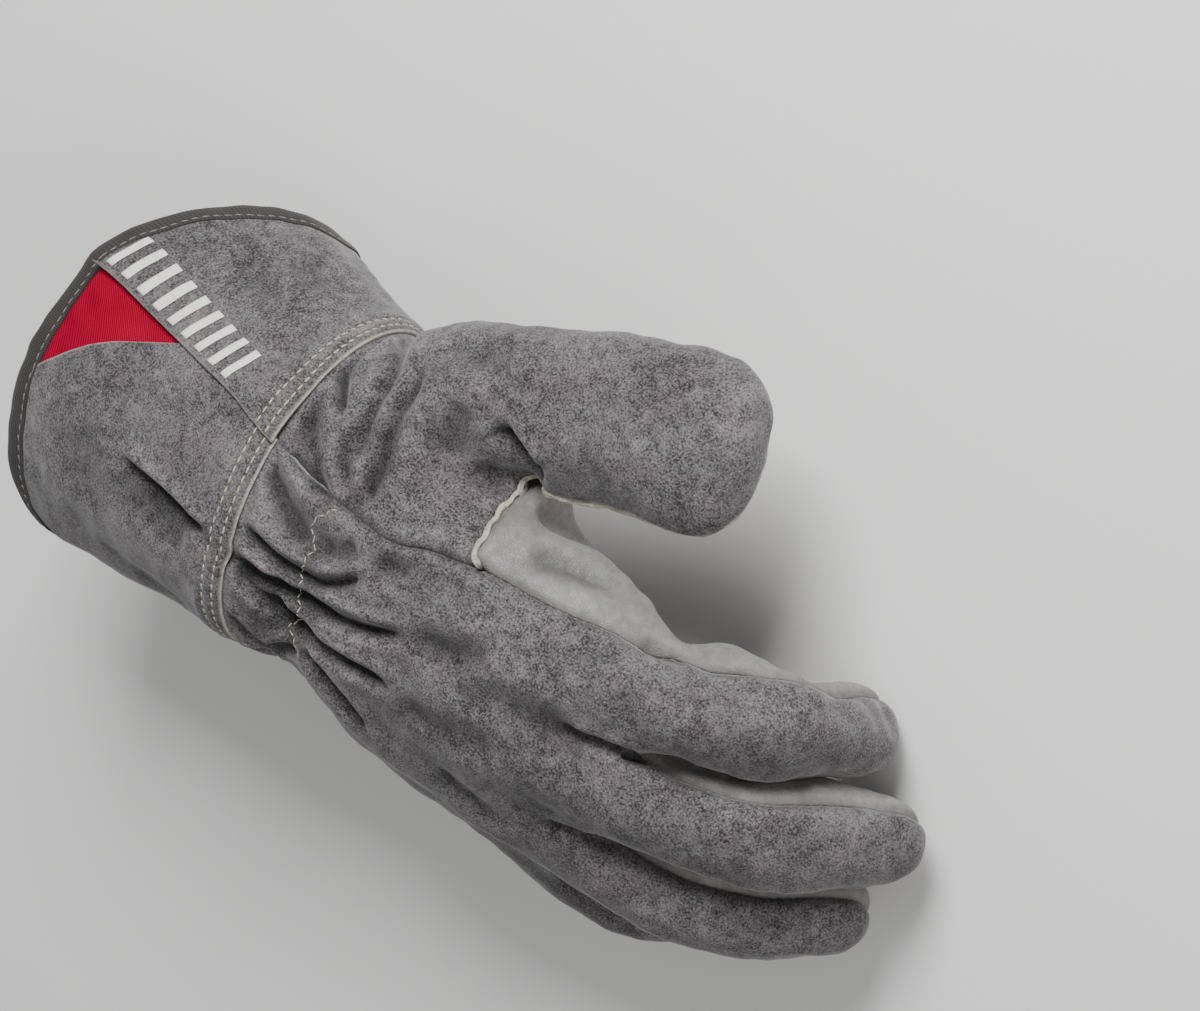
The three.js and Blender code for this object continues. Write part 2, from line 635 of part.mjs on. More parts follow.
// A panel cut from a surface: its faces drawn in by half the seam gap at the edges, and thickened inwards
function panelSolid(surface, normals, panel, options = {}) {
  const { thickness = LEATHER, sink = 0 } = options;
  const faces = surface.faces.filter((face) => face.panel === panel);
  const edges = openEdges(surface, faces);
  const shifts = new Map();
  for (const edge of edges) {
    for (const end of [edge.a, edge.b]) {
      const inward = normals[end].clone().cross(edge.run).normalize();
      shifts.set(end, [...(shifts.get(end) ?? []), inward]);
    }
  }
  const solid = { vertices: [], outside: [], triangles: [] };
  const outer = new Map();
  const used = [...new Set(faces.flatMap((face) => face.corners))];
  for (const index of used) {
    const point = surface.points[index].clone().addScaledVector(normals[index], -sink);
    const inwards = shifts.get(index) ?? [];
    if (inwards.length > 0) {
      const sum = inwards.reduce((total, inward) => total.add(inward), vec(0, 0, 0)).normalize();
      const turn = Math.max(sum.dot(inwards[0]), CORNER_TURN);
      point.addScaledVector(sum, SEAM_GAP / 2 / turn);
    }
    outer.set(index, solid.vertices.length);
    solid.vertices.push(point, point.clone().addScaledVector(normals[index], -thickness));
    solid.outside.push(true, false);
  }
  for (const face of faces) {
    const [a, b, c] = face.corners.map((corner) => outer.get(corner));
    solid.triangles.push([a, b, c], [c + 1, b + 1, a + 1]);
  }
  // Neighbouring panels cut the walls of their shared seam along the same diagonal
  for (const edge of edges) {
    const [a, b] = [outer.get(edge.a), outer.get(edge.b)];
    if (edge.a < edge.b) {
      solid.triangles.push([b, a, a + 1], [b, a + 1, b + 1]);
    } else {
      solid.triangles.push([b, a, b + 1], [a, a + 1, b + 1]);
    }
  }
  return solid;
}

// A closed sweep of rings with the same number of points; closed joins the last ring to the first
function sweepSolid(rings, outside, closed) {
  const solid = { vertices: rings.flat(), outside: rings.flatMap(() => outside), triangles: [] };
  const count = rings[0].length;
  const bands = closed ? rings.length : rings.length - 1;
  for (let r = 0; r < bands; r += 1) {
    const near = r * count;
    const far = ((r + 1) % rings.length) * count;
    for (let i = 0; i < count; i += 1) {
      const j = (i + 1) % count;
      solid.triangles.push([near + i, near + j, far + j], [near + i, far + j, far + i]);
    }
  }
  if (!closed) {
    const end = (rings.length - 1) * count;
    for (let i = 1; i + 1 < count; i += 1) {
      solid.triangles.push([0, i + 1, i], [end, end + i, end + i + 1]);
    }
  }
  return solid;
}

// The tape that binds the rim: a U round the edge of the cuff
function bindingSolid(surface, normals, rows) {
  const [rim, before] = [rows[rows.length - 1], rows[rows.length - 2]];
  const [near, far] = [SEAM_GAP, SEAM_GAP + TAPE];
  const inside = LEATHER + SEAM_GAP;
  const profile = [
    { leg: TAPE_LEG, out: far },
    { leg: -far, out: far },
    { leg: -far, out: -inside - TAPE },
    { leg: TAPE_LEG, out: -inside - TAPE },
    { leg: TAPE_LEG, out: -inside },
    { leg: -near, out: -inside },
    { leg: -near, out: near },
    { leg: TAPE_LEG, out: near },
  ];
  const rings = rim.map((index, column) => {
    const edge = surface.points[index];
    const back = surface.points[before[column]].clone().sub(edge).normalize();
    return profile.map(({ leg, out }) => edge.clone()
      .addScaledVector(back, leg)
      .addScaledVector(normals[index], out));
  });
  return sweepSolid(rings, profile.map(({ out }) => out === far), true);
}

// A raw leather edge that stands up along a seam of the skin
function weltSolid(surface, normals, path) {
  const rings = path.map((index, i) => {
    const before = surface.points[path[Math.max(i - 1, 0)]];
    const after = surface.points[path[Math.min(i + 1, path.length - 1)]];
    const out = normals[index];
    const across = after.clone().sub(before).cross(out).normalize();
    return [[-1, 0], [-1, 1], [1, 1], [1, 0]].map(([side, top]) => surface.points[index].clone()
      .addScaledVector(across, (side * WELT_WIDTH) / 2)
      .addScaledVector(out, WELT_LIFT + top * WELT_HEIGHT));
  });
  return sweepSolid(rings, [false, false, false, false], false);
}

// Leather, textile and tape as they look
const FINISHES = {
  suede: { color: 0x6f6b6d, roughness: 0.95 },
  grain: { color: 0x96918c, roughness: 0.6 },
  red: { color: 0xb30a2a, roughness: 0.9 },
  tape: { color: 0x55504c, roughness: 0.9 },
  rawEdge: { color: 0xd8d2c6, roughness: 0.9 },
};

const hand = { points: [], normals: new Map(), faces: [] };
const roots = rootRings(hand);
const grid = handGrid(hand, rootLoop(roots));
buildHand(hand, grid);
buildFingers(hand, roots);
const thumbSeam = buildThumb(hand, grid);
const cuff = { points: [], normals: new Map(), faces: [] };
const cuffRows = buildCuff(cuff);
const patch = { points: [], normals: new Map(), faces: [] };
buildPatch(patch);

const handNormals = vertexNormals(hand);
const cuffNormals = vertexNormals(cuff);
const patchNormals = vertexNormals(patch);
const gussetCut = { thickness: GUSSET_THICKNESS, sink: GUSSET_SINK };
const weltPath = [...roots[2].slice(10, 14), ...roots[1].slice(10, 15)];
const pieces = [
  { name: "back", finish: "suede", solid: panelSolid(hand, handNormals, "back") },
  { name: "palm", finish: "grain", solid: panelSolid(hand, handNormals, "palm") },
  { name: "finger_fronts", finish: "grain", solid: panelSolid(hand, handNormals, "finger_fronts") },
  { name: "thumb_back", finish: "suede", solid: panelSolid(hand, handNormals, "thumb_back") },
  { name: "thumb_welt", finish: "rawEdge", solid: weltSolid(hand, handNormals, thumbSeam) },
  { name: "finger_welt", finish: "rawEdge", solid: weltSolid(hand, handNormals, weltPath) },
  { name: "cuff_thumb_side", finish: "suede", solid: panelSolid(cuff, cuffNormals, "cuff_thumb_side") },
  { name: "cuff_little_side", finish: "suede", solid: panelSolid(cuff, cuffNormals, "cuff_little_side") },
  { name: "cuff_gusset", finish: "red", solid: panelSolid(cuff, cuffNormals, "cuff_gusset", gussetCut) },
  { name: "cuff_binding", finish: "tape", solid: bindingSolid(cuff, cuffNormals, cuffRows) },
  { name: "vein_patch", finish: "grain", solid: panelSolid(patch, patchNormals, "vein_patch") },
];

// Lay the glove down: turn it, centre it on the floor, and flatten the outer leather that rests there
const turn = new THREE.Matrix4().makeRotationFromEuler(new THREE.Euler(rad(REST_ROLL), rad(REST_PITCH), 0));
const box = new THREE.Box3();
for (const piece of pieces) {
  piece.solid.vertices.forEach((vertex) => box.expandByPoint(vertex.applyMatrix4(turn)));
}
const shift = box.getCenter(vec(0, 0, 0)).negate().setZ(-box.min.z);
for (const { solid } of pieces) {
  solid.vertices.forEach((vertex, i) => {
    vertex.add(shift);
    if (solid.outside[i] && vertex.z < REST_PRESS) {
      vertex.z = 0;
    }
  });
}

const glove = new THREE.Group();
for (const { name, finish, solid } of pieces) {
  const geometry = new THREE.BufferGeometry();
  const positions = solid.vertices.flatMap((vertex) => vertex.toArray());
  geometry.setAttribute("position", new THREE.Float32BufferAttribute(positions, 3));
  geometry.setIndex(solid.triangles.flat());
  geometry.computeVertexNormals();
  const mesh = new THREE.Mesh(geometry, new THREE.MeshStandardMaterial({ ...FINISHES[finish], metalness: 0 }));
  mesh.name = name;
  glove.add(mesh);
}

export default glove;
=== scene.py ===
import bpy
import numpy as np
from mathutils import Matrix, Vector
from mathutils.bvhtree import BVHTree
from mathutils.kdtree import KDTree


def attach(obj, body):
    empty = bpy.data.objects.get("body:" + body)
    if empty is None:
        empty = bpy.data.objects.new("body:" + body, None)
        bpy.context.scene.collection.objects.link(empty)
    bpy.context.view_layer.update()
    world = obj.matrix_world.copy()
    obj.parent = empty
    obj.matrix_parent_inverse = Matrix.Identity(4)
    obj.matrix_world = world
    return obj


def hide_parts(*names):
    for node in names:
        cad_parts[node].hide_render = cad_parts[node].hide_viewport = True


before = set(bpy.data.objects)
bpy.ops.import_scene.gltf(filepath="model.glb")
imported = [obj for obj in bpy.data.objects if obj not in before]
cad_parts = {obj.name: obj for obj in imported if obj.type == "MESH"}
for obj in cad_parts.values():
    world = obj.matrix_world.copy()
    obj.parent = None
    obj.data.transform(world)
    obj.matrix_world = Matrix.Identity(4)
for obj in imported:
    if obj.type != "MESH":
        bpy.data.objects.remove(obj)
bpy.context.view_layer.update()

# The camera: the photograph's angle, set in the frame of the hand, which the glove is shaped in.
# Millimetres; +X runs to the fingertips, +Y to the thumb side and +Z out of the back of the hand.
# The glove lies turned from that frame by REST_ROLL and REST_PITCH, and moved by REST_SHIFT.
MM = 0.001
REST_PITCH = -2.2
REST_ROLL = 15.7
REST_SHIFT = np.array([-49.495, -20.462, 58.772])
VIEW_ELEVATION = 49.1
VIEW_AZIMUTH = 21.0
VIEW_ROLL = 46.9
VIEW_CENTRE = np.array([55.0, 0, -10.0])
VIEW_DISTANCE = 1300
VIEW_WIDTH = 333.3
NEAREST = 0.05
SENSOR = 36
PICTURE = (1200, 1011)
PRINCIPAL = (469.2, 603.9)

pitch, roll = np.radians([REST_PITCH, REST_ROLL])
turn_pitch = np.array([[np.cos(pitch), 0, np.sin(pitch)], [0, 1, 0], [-np.sin(pitch), 0, np.cos(pitch)]])
turn_roll = np.array([[1, 0, 0], [0, np.cos(roll), -np.sin(roll)], [0, np.sin(roll), np.cos(roll)]])
REST_TURN = turn_roll @ turn_pitch

theta, alpha, spin = np.radians([VIEW_ELEVATION, VIEW_AZIMUTH, VIEW_ROLL])
toward = np.array([np.sin(alpha), np.cos(alpha) * np.sin(theta), np.cos(alpha) * np.cos(theta)])
level = np.array([1.0, 0, 0]) - toward[0] * toward
level /= np.linalg.norm(level)
upright = np.cross(toward, level)
right = level * np.cos(spin) + upright * np.sin(spin)
upward = -level * np.sin(spin) + upright * np.cos(spin)
eye = VIEW_CENTRE + toward * VIEW_DISTANCE

camera_data = bpy.data.cameras.new("camera")
camera_data.sensor_width = SENSOR
camera_data.lens = SENSOR * VIEW_DISTANCE / VIEW_WIDTH
camera_data.shift_x = (PICTURE[0] / 2 - PRINCIPAL[0]) / PICTURE[0]
camera_data.shift_y = (PRINCIPAL[1] - PICTURE[1] / 2) / PICTURE[0]
camera_data.clip_start = NEAREST
camera = bpy.data.objects.new("camera", camera_data)
bpy.context.scene.collection.objects.link(camera)
place = np.eye(4)
place[:3, 0] = REST_TURN @ right
place[:3, 1] = REST_TURN @ upward
place[:3, 2] = REST_TURN @ toward
place[:3, 3] = (REST_TURN @ eye + REST_SHIFT) * MM
camera.matrix_world = Matrix(place.tolist())
bpy.context.scene.camera = camera

# The skin of the hand: the suede back and thumb and the grain leather palm, sewn to one another and
# filled out by the hand. It is one surface, shaped from the same sizes as the solids, then cut along
# its seams into the pieces.
HAND_LENGTH = 121
HAND_WIDTH = 104
HAND_DEPTH = 62
KNUCKLE_RADIUS = 86
KNUCKLE_TURN = -7.5
KNUCKLE_SIDE = 2.7
KNUCKLE_UP = -0.3
RIDGE_START = 0.42
RIDGE_EASE = 1.4
FINGER_LENGTH = 90
FINGER_WIDTH = 29
FINGER_DEPTH = 30
FINGER_PITCH = 29
LITTLE_SIZE = 0.92
THUMB_WIDTH = 48
THUMB_DEPTH = 31
THUMB_SPAN = 75
THUMB_REACH = 48
THUMB_OPENING = 63
THUMB_EASE = 0.4
THUMB_TIP_REACH = 1.6
THUMB_TIP_EASE = 0.6
CUFF_LENGTH = 66
CUFF_YAW = 18.8
CUFF_PITCH = 8.6
LAP = 12
LAP_FRONT = 3
SEAM_TILT = 5
RUN = 4
COLUMNS = 10 * RUN
SEAM_LITTLE = 5 * RUN
THUMB_COLUMNS = 10
THUMB_LAST_ROW = 6
HAND_ROWS = [LAP_FRONT - LAP, LAP_FRONT]
HAND_ROWS += [row * HAND_LENGTH for row in (0.066, 0.165, 0.273, 0.388)]
HAND_ROWS += [THUMB_OPENING] + [row * HAND_LENGTH for row in (0.645, 0.769, 0.884, 1)]
SPINE_STEP = 0.12

# at, side, up
SPINE = np.array([
    (0, 0, 0),
    (0.25, 0.045, -0.03),
    (0.5, 0.02, -0.05),
    (0.75, -0.03, -0.1),
    (1, -0.08, -0.14),
])
# at, half width, half depth, twist, angle of the thumb-side seam, angle of the little-side seam
SECTIONS = np.array([
    (-1, 0.56, 0.6, -44, 82, 215),
    (-0.5, 0.51, 0.57, -44, 83, 215),
    (0, 0.47, 0.55, -44, 86, 215),
    (0.2, 0.455, 0.53, -38, 87, 210),
    (0.4, 0.45, 0.53, -28, 74, 200),
    (0.56, 0.46, 0.52, -21, 55, 193),
    (0.77, 0.5, 0.5, -12, 30, 185),
    (1, 0.55, 0.44, -7.5, 0, 180),
])
# row round the knuckles, root, length, spread, three bends, size
FINGERS = [
    (1.5, 1.0, 0.91, 17.5, (36, 34, 17), 1),
    (0.5, 1.04, 1.0, 4.5, (29, 25, 11), 1),
    (-0.5, 1.02, 0.92, -4.5, (21, 20, 10), 1),
    (-1.45, 0.935, 0.73, -12, (18, 24, 12), LITTLE_SIZE),
]
# at, half width, half depth of the back and of the front
FINGER_SECTIONS = np.array([
    (0, 0.5, 0.5, 0.5),
    (0.12, 0.465, 0.5, 0.53),
    (0.4, 0.465, 0.5, 0.5),
    (0.6, 0.46, 0.49, 0.5),
    (0.85, 0.44, 0.43, 0.46),
    (1, 0.41, 0.4, 0.42),
])
FINGER_RINGS = [0.08, 0.2, 0.34, 0.47, 0.6, 0.73, 0.86, 1]
FINGER_JOINTS = [0.02, 0.44, 0.76]
JOINT_LENGTH = 0.22
BEND_STEPS = 40
CAP_ANGLES = [32, 60, 80]
# The seam on the thumb side of each finger lies a little up on its back, in degrees. It rises over the
# first part of the finger's length, and sinks again over the last.
SEAM_RISE = 11
SEAM_RISE_OVER = 0.25
SEAM_SINK = 0.7
SEAM_SINK_FROM = 0.7
SEAM_SINK_OVER = 0.3
# Where the points of a finger's ring lie round it, the back's points first
BACK_POINTS = 2 * RUN
SECTION_ANGLES = np.array([0, 20, 40, 65, 90, 115, 140, 160, 180, 200, 220, 245, 270, 295, 320, 340])
# along, side, up, half width, half depth
THUMB_SECTIONS = [
    (0.5, 1.24, -0.47, 0.43, 0.5),
    (0.66, 1.39, -0.54, 0.46, 0.5),
    (0.81, 1.52, -0.59, 0.49, 0.48),
    (0.96, 1.645, -0.63, 0.51, 0.46),
    (1.12, 1.77, -0.675, 0.51, 0.42),
]
THUMB_BACK = np.array([0.36, 0.706, 0.611])
THUMB_BLEND = [0.22, 0.45, 0.7]
LEAVE_PASSES = 3
# How far the thumb's seam lies round to the palm side, in degrees: by the web, by the outer edge, at the tip
WEB_DROPS = [14, 7, 6, 9, 12]
EDGE_DROPS = [12, 15, 18, 19, 20]
TIP_DROP = 30
# The large folds that the solids have too: row and column of both ends, depth and width
GIRTH = 2.6 * HAND_WIDTH
COLUMN_MM = GIRTH / COLUMNS
FOLDS = [
    (0.22, 1, 0.22, 17, 3, 9),
    (0.24, 3, 0.5, 6, 1.8, 6.3),
    (0.26, 9, 0.6, 11, 2.1, 7.2),
    (0.08, 6, 0.2, 8, 1.5, 6.3),
    (-0.75, 12, -0.2, 14, 2.1, 9),
]


def sample(table, column, at):
    """Value of a table's column at a place between its rows, on a smooth curve through them."""
    knots, values = table[:, 0], table[:, column]
    slopes = np.empty(len(knots))
    slopes[1:-1] = (values[2:] - values[:-2]) / (knots[2:] - knots[:-2])
    slopes[0] = (values[1] - values[0]) / (knots[1] - knots[0])
    slopes[-1] = (values[-1] - values[-2]) / (knots[-1] - knots[-2])
    i = np.clip(np.searchsorted(knots, at) - 1, 0, len(knots) - 2)
    span = knots[i + 1] - knots[i]
    t = np.clip((at - knots[i]) / span, 0, 1)
    start = (2 * t**3 - 3 * t**2 + 1) * values[i] + (t**3 - 2 * t**2 + t) * span * slopes[i]
    return start + (3 * t**2 - 2 * t**3) * values[i + 1] + (t**3 - t**2) * span * slopes[i + 1]


def ease(t):
    """Smooth step from 0 to 1."""
    t = np.clip(t, 0, 1)
    return t * t * (3 - 2 * t)


def bell(gap, width):
    """A smooth hump, 1 at no gap and next to nothing at twice the width."""
    return np.exp(-((gap / width) ** 2))


def unit(v):
    """The same vectors with a length of one."""
    return v / np.maximum(np.linalg.norm(v, axis=-1, keepdims=True), 1e-12)


def column_angle(at, column):
    """Angle of a column round a cross-section, from its wide axis, in radians."""
    thumb_seam, little_seam = sample(SECTIONS, 4, at), sample(SECTIONS, 5, at)
    part = column / SEAM_LITTLE
    back = thumb_seam + (little_seam - thumb_seam) * part
    front = little_seam + (thumb_seam + 360 - little_seam) * (part - 1)
    return np.radians(np.where(part <= 1, back, front))


def share(mm, column):
    """Place along the glove of a distance from the cuff seam, which runs back on the thumb side."""
    lean = np.cos(column_angle(np.zeros_like(mm), column))
    run = mm - SEAM_TILT * ease(1 - np.abs(mm) / (HAND_LENGTH / 2)) * lean
    return np.where(run < 0, run / CUFF_LENGTH, run / HAND_LENGTH)


def spine(at):
    """Middle of the glove at places along it."""
    yaw, pitch = np.radians([CUFF_YAW, CUFF_PITCH])
    run = at * CUFF_LENGTH
    cuff = np.stack([run * np.cos(yaw) * np.cos(pitch), run * np.sin(yaw), run * np.sin(pitch)], -1)
    side, up = sample(SPINE, 1, at) * HAND_WIDTH, sample(SPINE, 2, at) * HAND_DEPTH
    hand = np.stack([at * HAND_LENGTH, side, up], -1)
    return np.where((at < 0)[..., None], cuff, hand)


def tube_point(at, column, lift=0):
    """Points of the smooth tube of cuff and hand; lift moves them out of the surface."""
    at, column = np.broadcast_arrays(np.asarray(at, float), np.asarray(column, float))
    along = unit(spine(at + SPINE_STEP) - spine(at - SPINE_STEP))
    side = unit(np.array([0, 1, 0]) - along[..., 1:2] * along)
    up = np.cross(along, side)
    length = np.where(at < 0, CUFF_LENGTH, HAND_LENGTH)
    pressed = np.zeros(at.shape)
    for row_a, column_a, row_b, column_b, depth, width in FOLDS:
        line = np.stack([(row_b - row_a) * length, np.full(at.shape, (column_b - column_a) * COLUMN_MM)], -1)
        off = np.stack([(at - row_a) * length, (column - column_a) * COLUMN_MM], -1)
        along_line = np.clip((off * line).sum(-1) / (line**2).sum(-1), 0, 1)
        pressed += depth * bell(np.linalg.norm(off - line * along_line[..., None], axis=-1), width)
    angle, twist = column_angle(at, column), np.radians(sample(SECTIONS, 3, at))
    a = (sample(SECTIONS, 1, at) * HAND_WIDTH + lift - pressed) * np.cos(angle)
    b = (sample(SECTIONS, 2, at) * HAND_DEPTH + lift - pressed) * np.sin(angle)
    y = a * np.cos(twist) - b * np.sin(twist)
    z = a * np.sin(twist) + b * np.cos(twist)
    return spine(at) + side * y[..., None] + up * z[..., None]


def finger_place(finger, at):
    """Middle and directions of a finger at a share of its length, bent smoothly at its three joints."""
    row, root, length, spread, bends, _ = FINGERS[finger]
    arch = row * FINGER_PITCH / KNUCKLE_RADIUS + np.radians(KNUCKLE_TURN)
    spread = np.radians(spread)
    across = np.array([0, np.cos(arch), -np.sin(arch)])
    back = np.array([0, np.sin(arch), np.cos(arch)])
    ahead = np.array([np.cos(spread), 0, 0]) + across * np.sin(spread)
    side = np.array([-np.sin(spread), 0, 0]) + across * np.cos(spread)
    height = KNUCKLE_UP + KNUCKLE_RADIUS * (np.cos(arch) - 1)
    middle = np.array([root * HAND_LENGTH, KNUCKLE_SIDE + KNUCKLE_RADIUS * np.sin(arch), height])
    reach = length * FINGER_LENGTH - FINGER_WIDTH * FINGER_SECTIONS[-1, 1]
    places = np.append((np.arange(BEND_STEPS) + 0.5) / BEND_STEPS, 1) * at
    starts = np.array(FINGER_JOINTS) - JOINT_LENGTH / 2
    bend = (np.radians(bends) * ease((places[:, None] - starts) / JOINT_LENGTH)).sum(1)
    step = reach * at / BEND_STEPS
    middle = middle + ahead * (np.cos(bend[:-1]).sum() * step) - back * (np.sin(bend[:-1]).sum() * step)
    c, s = np.cos(bend[-1]), np.sin(bend[-1])
    return middle, ahead * c - back * s, side, ahead * s + back * c


def finger_ring(finger, at, cap=0):
    """One ring of a finger; cap is the angle round the fingertip, 0 on the finger itself."""
    middle, ahead, side, back = finger_place(finger, at)
    size = FINGERS[finger][5]
    wide = sample(FINGER_SECTIONS, 1, at) * FINGER_WIDTH * (size if at > 0 else 1)
    sunk = SEAM_SINK * ease((at - SEAM_SINK_FROM) / SEAM_SINK_OVER)
    rise = SEAM_RISE * ease(at / SEAM_RISE_OVER) * (1 - sunk)
    turn = rise * np.clip(np.cos(np.radians(SECTION_ANGLES)), 0, 1)
    cap, angle = np.radians(cap), np.radians(SECTION_ANGLES + turn)
    face = np.where(np.sin(angle) > 1e-9, sample(FINGER_SECTIONS, 2, at), sample(FINGER_SECTIONS, 3, at))
    a = wide * np.cos(cap) * np.cos(angle)
    b = face * FINGER_DEPTH * size * np.cos(cap) * np.sin(angle)
    return middle + ahead * (wide * np.sin(cap)) + side * a[:, None] + back * b[:, None]


BACK, PALM, FRONTS, THUMB = range(4)
points, cells, cell_panels = [], [], []


def add_points(new):
    """Adds points to the skin and gives their numbers."""
    points.extend(new)
    return list(range(len(points) - len(new), len(points)))


def add_band(near, far, back_count, back, front, turned=False):
    """Cells between two rings, or a ring and one point; turned winds them the other way round."""
    for i in range(len(near)):
        j = (i + 1) % len(near)
        cell = (near[i], near[j], far) if isinstance(far, int) else (near[i], near[j], far[j], far[i])
        cells.append(cell[:1] + cell[:0:-1] if turned else cell)
        cell_panels.append(back if i < back_count else front)


# Root rings of the fingers; neighbours share the points of the crotch between them
SHARED_POINTS = ((6, 2), (7, 1), (8, 0), (9, 15), (10, 14))
rings = [finger_ring(f, 0) for f in range(4)]
roots = [[-1] * 16 for _ in range(4)]
for f in range(3):
    for mine, other in SHARED_POINTS:
        roots[f][mine] = roots[f + 1][other] = add_points([(rings[f][mine] + rings[f + 1][other]) / 2])[0]
for f in range(4):
    for k in range(16):
        if roots[f][k] < 0:
            roots[f][k] = add_points([rings[f][k]])[0]
loop = roots[0][:2]
for f in range(4):
    loop += roots[f][2:6]
loop += roots[3][6:10]
for f in (3, 2, 1, 0):
    loop += roots[f][10:14]
loop += roots[0][14:16]

# Rows of the hand, drawn towards the finger roots as ridges near them
columns = np.arange(COLUMNS)
offsets = np.array([points[k] for k in loop]) - tube_point(np.ones(COLUMNS), columns)
grid = []
for mm in HAND_ROWS[:-1]:
    ridge = ease((mm / HAND_LENGTH - RIDGE_START) / (1 - RIDGE_START)) ** RIDGE_EASE
    tube = tube_point(share(np.full(COLUMNS, float(mm)), columns), columns)
    grid.append(add_points(tube + offsets * ridge))
grid.append(loop)
thumb_start = COLUMNS - THUMB_COLUMNS
for row in range(len(grid) - 1):
    for column in range(COLUMNS):
        at_thumb = column >= thumb_start
        if at_thumb and 2 <= row < THUMB_LAST_ROW:
            continue
        j = (column + 1) % COLUMNS
        cells.append((grid[row][column], grid[row][j], grid[row + 1][j], grid[row + 1][column]))
        cell_panels.append(THUMB if at_thumb and row < 2 else BACK if column < SEAM_LITTLE else PALM)

# The fingers, each a run of rings with a round tip
for f in range(4):
    ring = roots[f]
    front = FRONTS if f in (1, 2) else PALM
    for at, cap in [(at, 0) for at in FINGER_RINGS] + [(1, cap) for cap in CAP_ANGLES]:
        far = add_points(finger_ring(f, at, cap))
        add_band(ring, far, BACK_POINTS, BACK, front)
        ring = far
    middle, ahead, _, _ = finger_place(f, 1)
    reach = FINGER_SECTIONS[-1, 1] * FINGER_WIDTH * FINGERS[f][5]
    add_band(ring, add_points([middle + ahead * reach])[0], BACK_POINTS, BACK, front)


def thumb_ring(section, cap=0):
    """One ring of the thumb at a row of its table."""
    spots = np.array([(a * THUMB_SPAN, s * THUMB_REACH, u * THUMB_REACH) for a, s, u, _, _ in THUMB_SECTIONS])
    ahead = unit(spots[min(section + 1, len(spots) - 1)] - spots[max(section - 1, 0)])
    down = unit(np.cross(ahead, THUMB_BACK))
    back = np.cross(down, ahead)
    wide, deep = THUMB_SECTIONS[section][3] * THUMB_WIDTH, THUMB_SECTIONS[section][4] * THUMB_DEPTH
    web, edge = WEB_DROPS[section], EDGE_DROPS[section]
    back_angles = -web + (180 + web + edge) * numbers / back_count
    front_angles = 180 + edge + (180 - web - edge) * (numbers - back_count) / front_count
    angles = np.radians(np.where(numbers <= back_count, back_angles, front_angles))
    cap = np.radians(cap)
    tilt = np.radians(TIP_DROP) * np.sin(cap)
    a = wide * np.cos(cap) ** THUMB_TIP_EASE * np.cos(angles)
    rise = np.cos(cap) * np.sin(angles)
    b = deep * (rise * np.cos(tilt) - np.sin(cap) * np.sin(tilt))
    ahead_by = deep * THUMB_TIP_REACH * (np.sin(cap) * np.cos(tilt) + rise * np.sin(tilt))
    return spots[section] + ahead * ahead_by[:, None] + down * a[:, None] + back * b[:, None], ahead


# The opening that the thumb grows from, with the way the skin leaves each of its points
steps = [(row, COLUMNS, 0, 1) for row in range(THUMB_LAST_ROW, 2, -1)]
steps += [(2, column, -1, 0) for column in range(COLUMNS, thumb_start, -1)]
steps += [(row, thumb_start, 0, -1) for row in range(2, THUMB_LAST_ROW)]
steps += [(THUMB_LAST_ROW, column, 1, 0) for column in range(thumb_start, COLUMNS)]
ring = [grid[row][column % COLUMNS] for row, column, _, _ in steps]
starts = np.array([points[k] for k in ring])
inner = np.array([points[grid[r + dr][(c + dc) % COLUMNS]] for r, c, dr, dc in steps])
leave = unit(starts - inner)
for _ in range(LEAVE_PASSES):
    leave = unit(2 * leave + np.roll(leave, 1, 0) + np.roll(leave, -1, 0))
back_count = THUMB_LAST_ROW - 2 + THUMB_COLUMNS
front_count = len(ring) - back_count
numbers = np.arange(len(ring))
first, ahead = thumb_ring(0)
reach = np.linalg.norm(first - starts, axis=1)[:, None]
straight = np.array([row == 2 for row, _, _, _ in steps])[:, None]
leave = np.where(straight, unit(first - starts), leave)
arm_a, arm_b = starts + leave * reach * THUMB_EASE, first - ahead * reach * THUMB_EASE
thumb_rings = [
    (1 - t) ** 3 * starts + 3 * (1 - t) ** 2 * t * arm_a + 3 * (1 - t) * t * t * arm_b + t**3 * first
    for t in THUMB_BLEND
]
thumb_rings += [thumb_ring(k)[0] for k in range(len(THUMB_SECTIONS))]
thumb_rings += [thumb_ring(len(THUMB_SECTIONS) - 1, cap)[0] for cap in CAP_ANGLES]
for new in thumb_rings:
    far = add_points(new)
    add_band(ring, far, back_count, THUMB, PALM, turned=True)
    ring = far
tip = add_points([thumb_ring(len(THUMB_SECTIONS) - 1, 90)[0].mean(0)])[0]
add_band(ring, tip, back_count, THUMB, PALM, turned=True)

# Smooth the coarse cells to a fine surface that passes through their points
SMOOTH_LEVELS = 3
SMOOTH_PASSES = 2


def new_object(name, mesh):
    """An object at the origin for a mesh."""
    made = bpy.data.objects.new(name, mesh)
    bpy.context.scene.collection.objects.link(made)
    return made


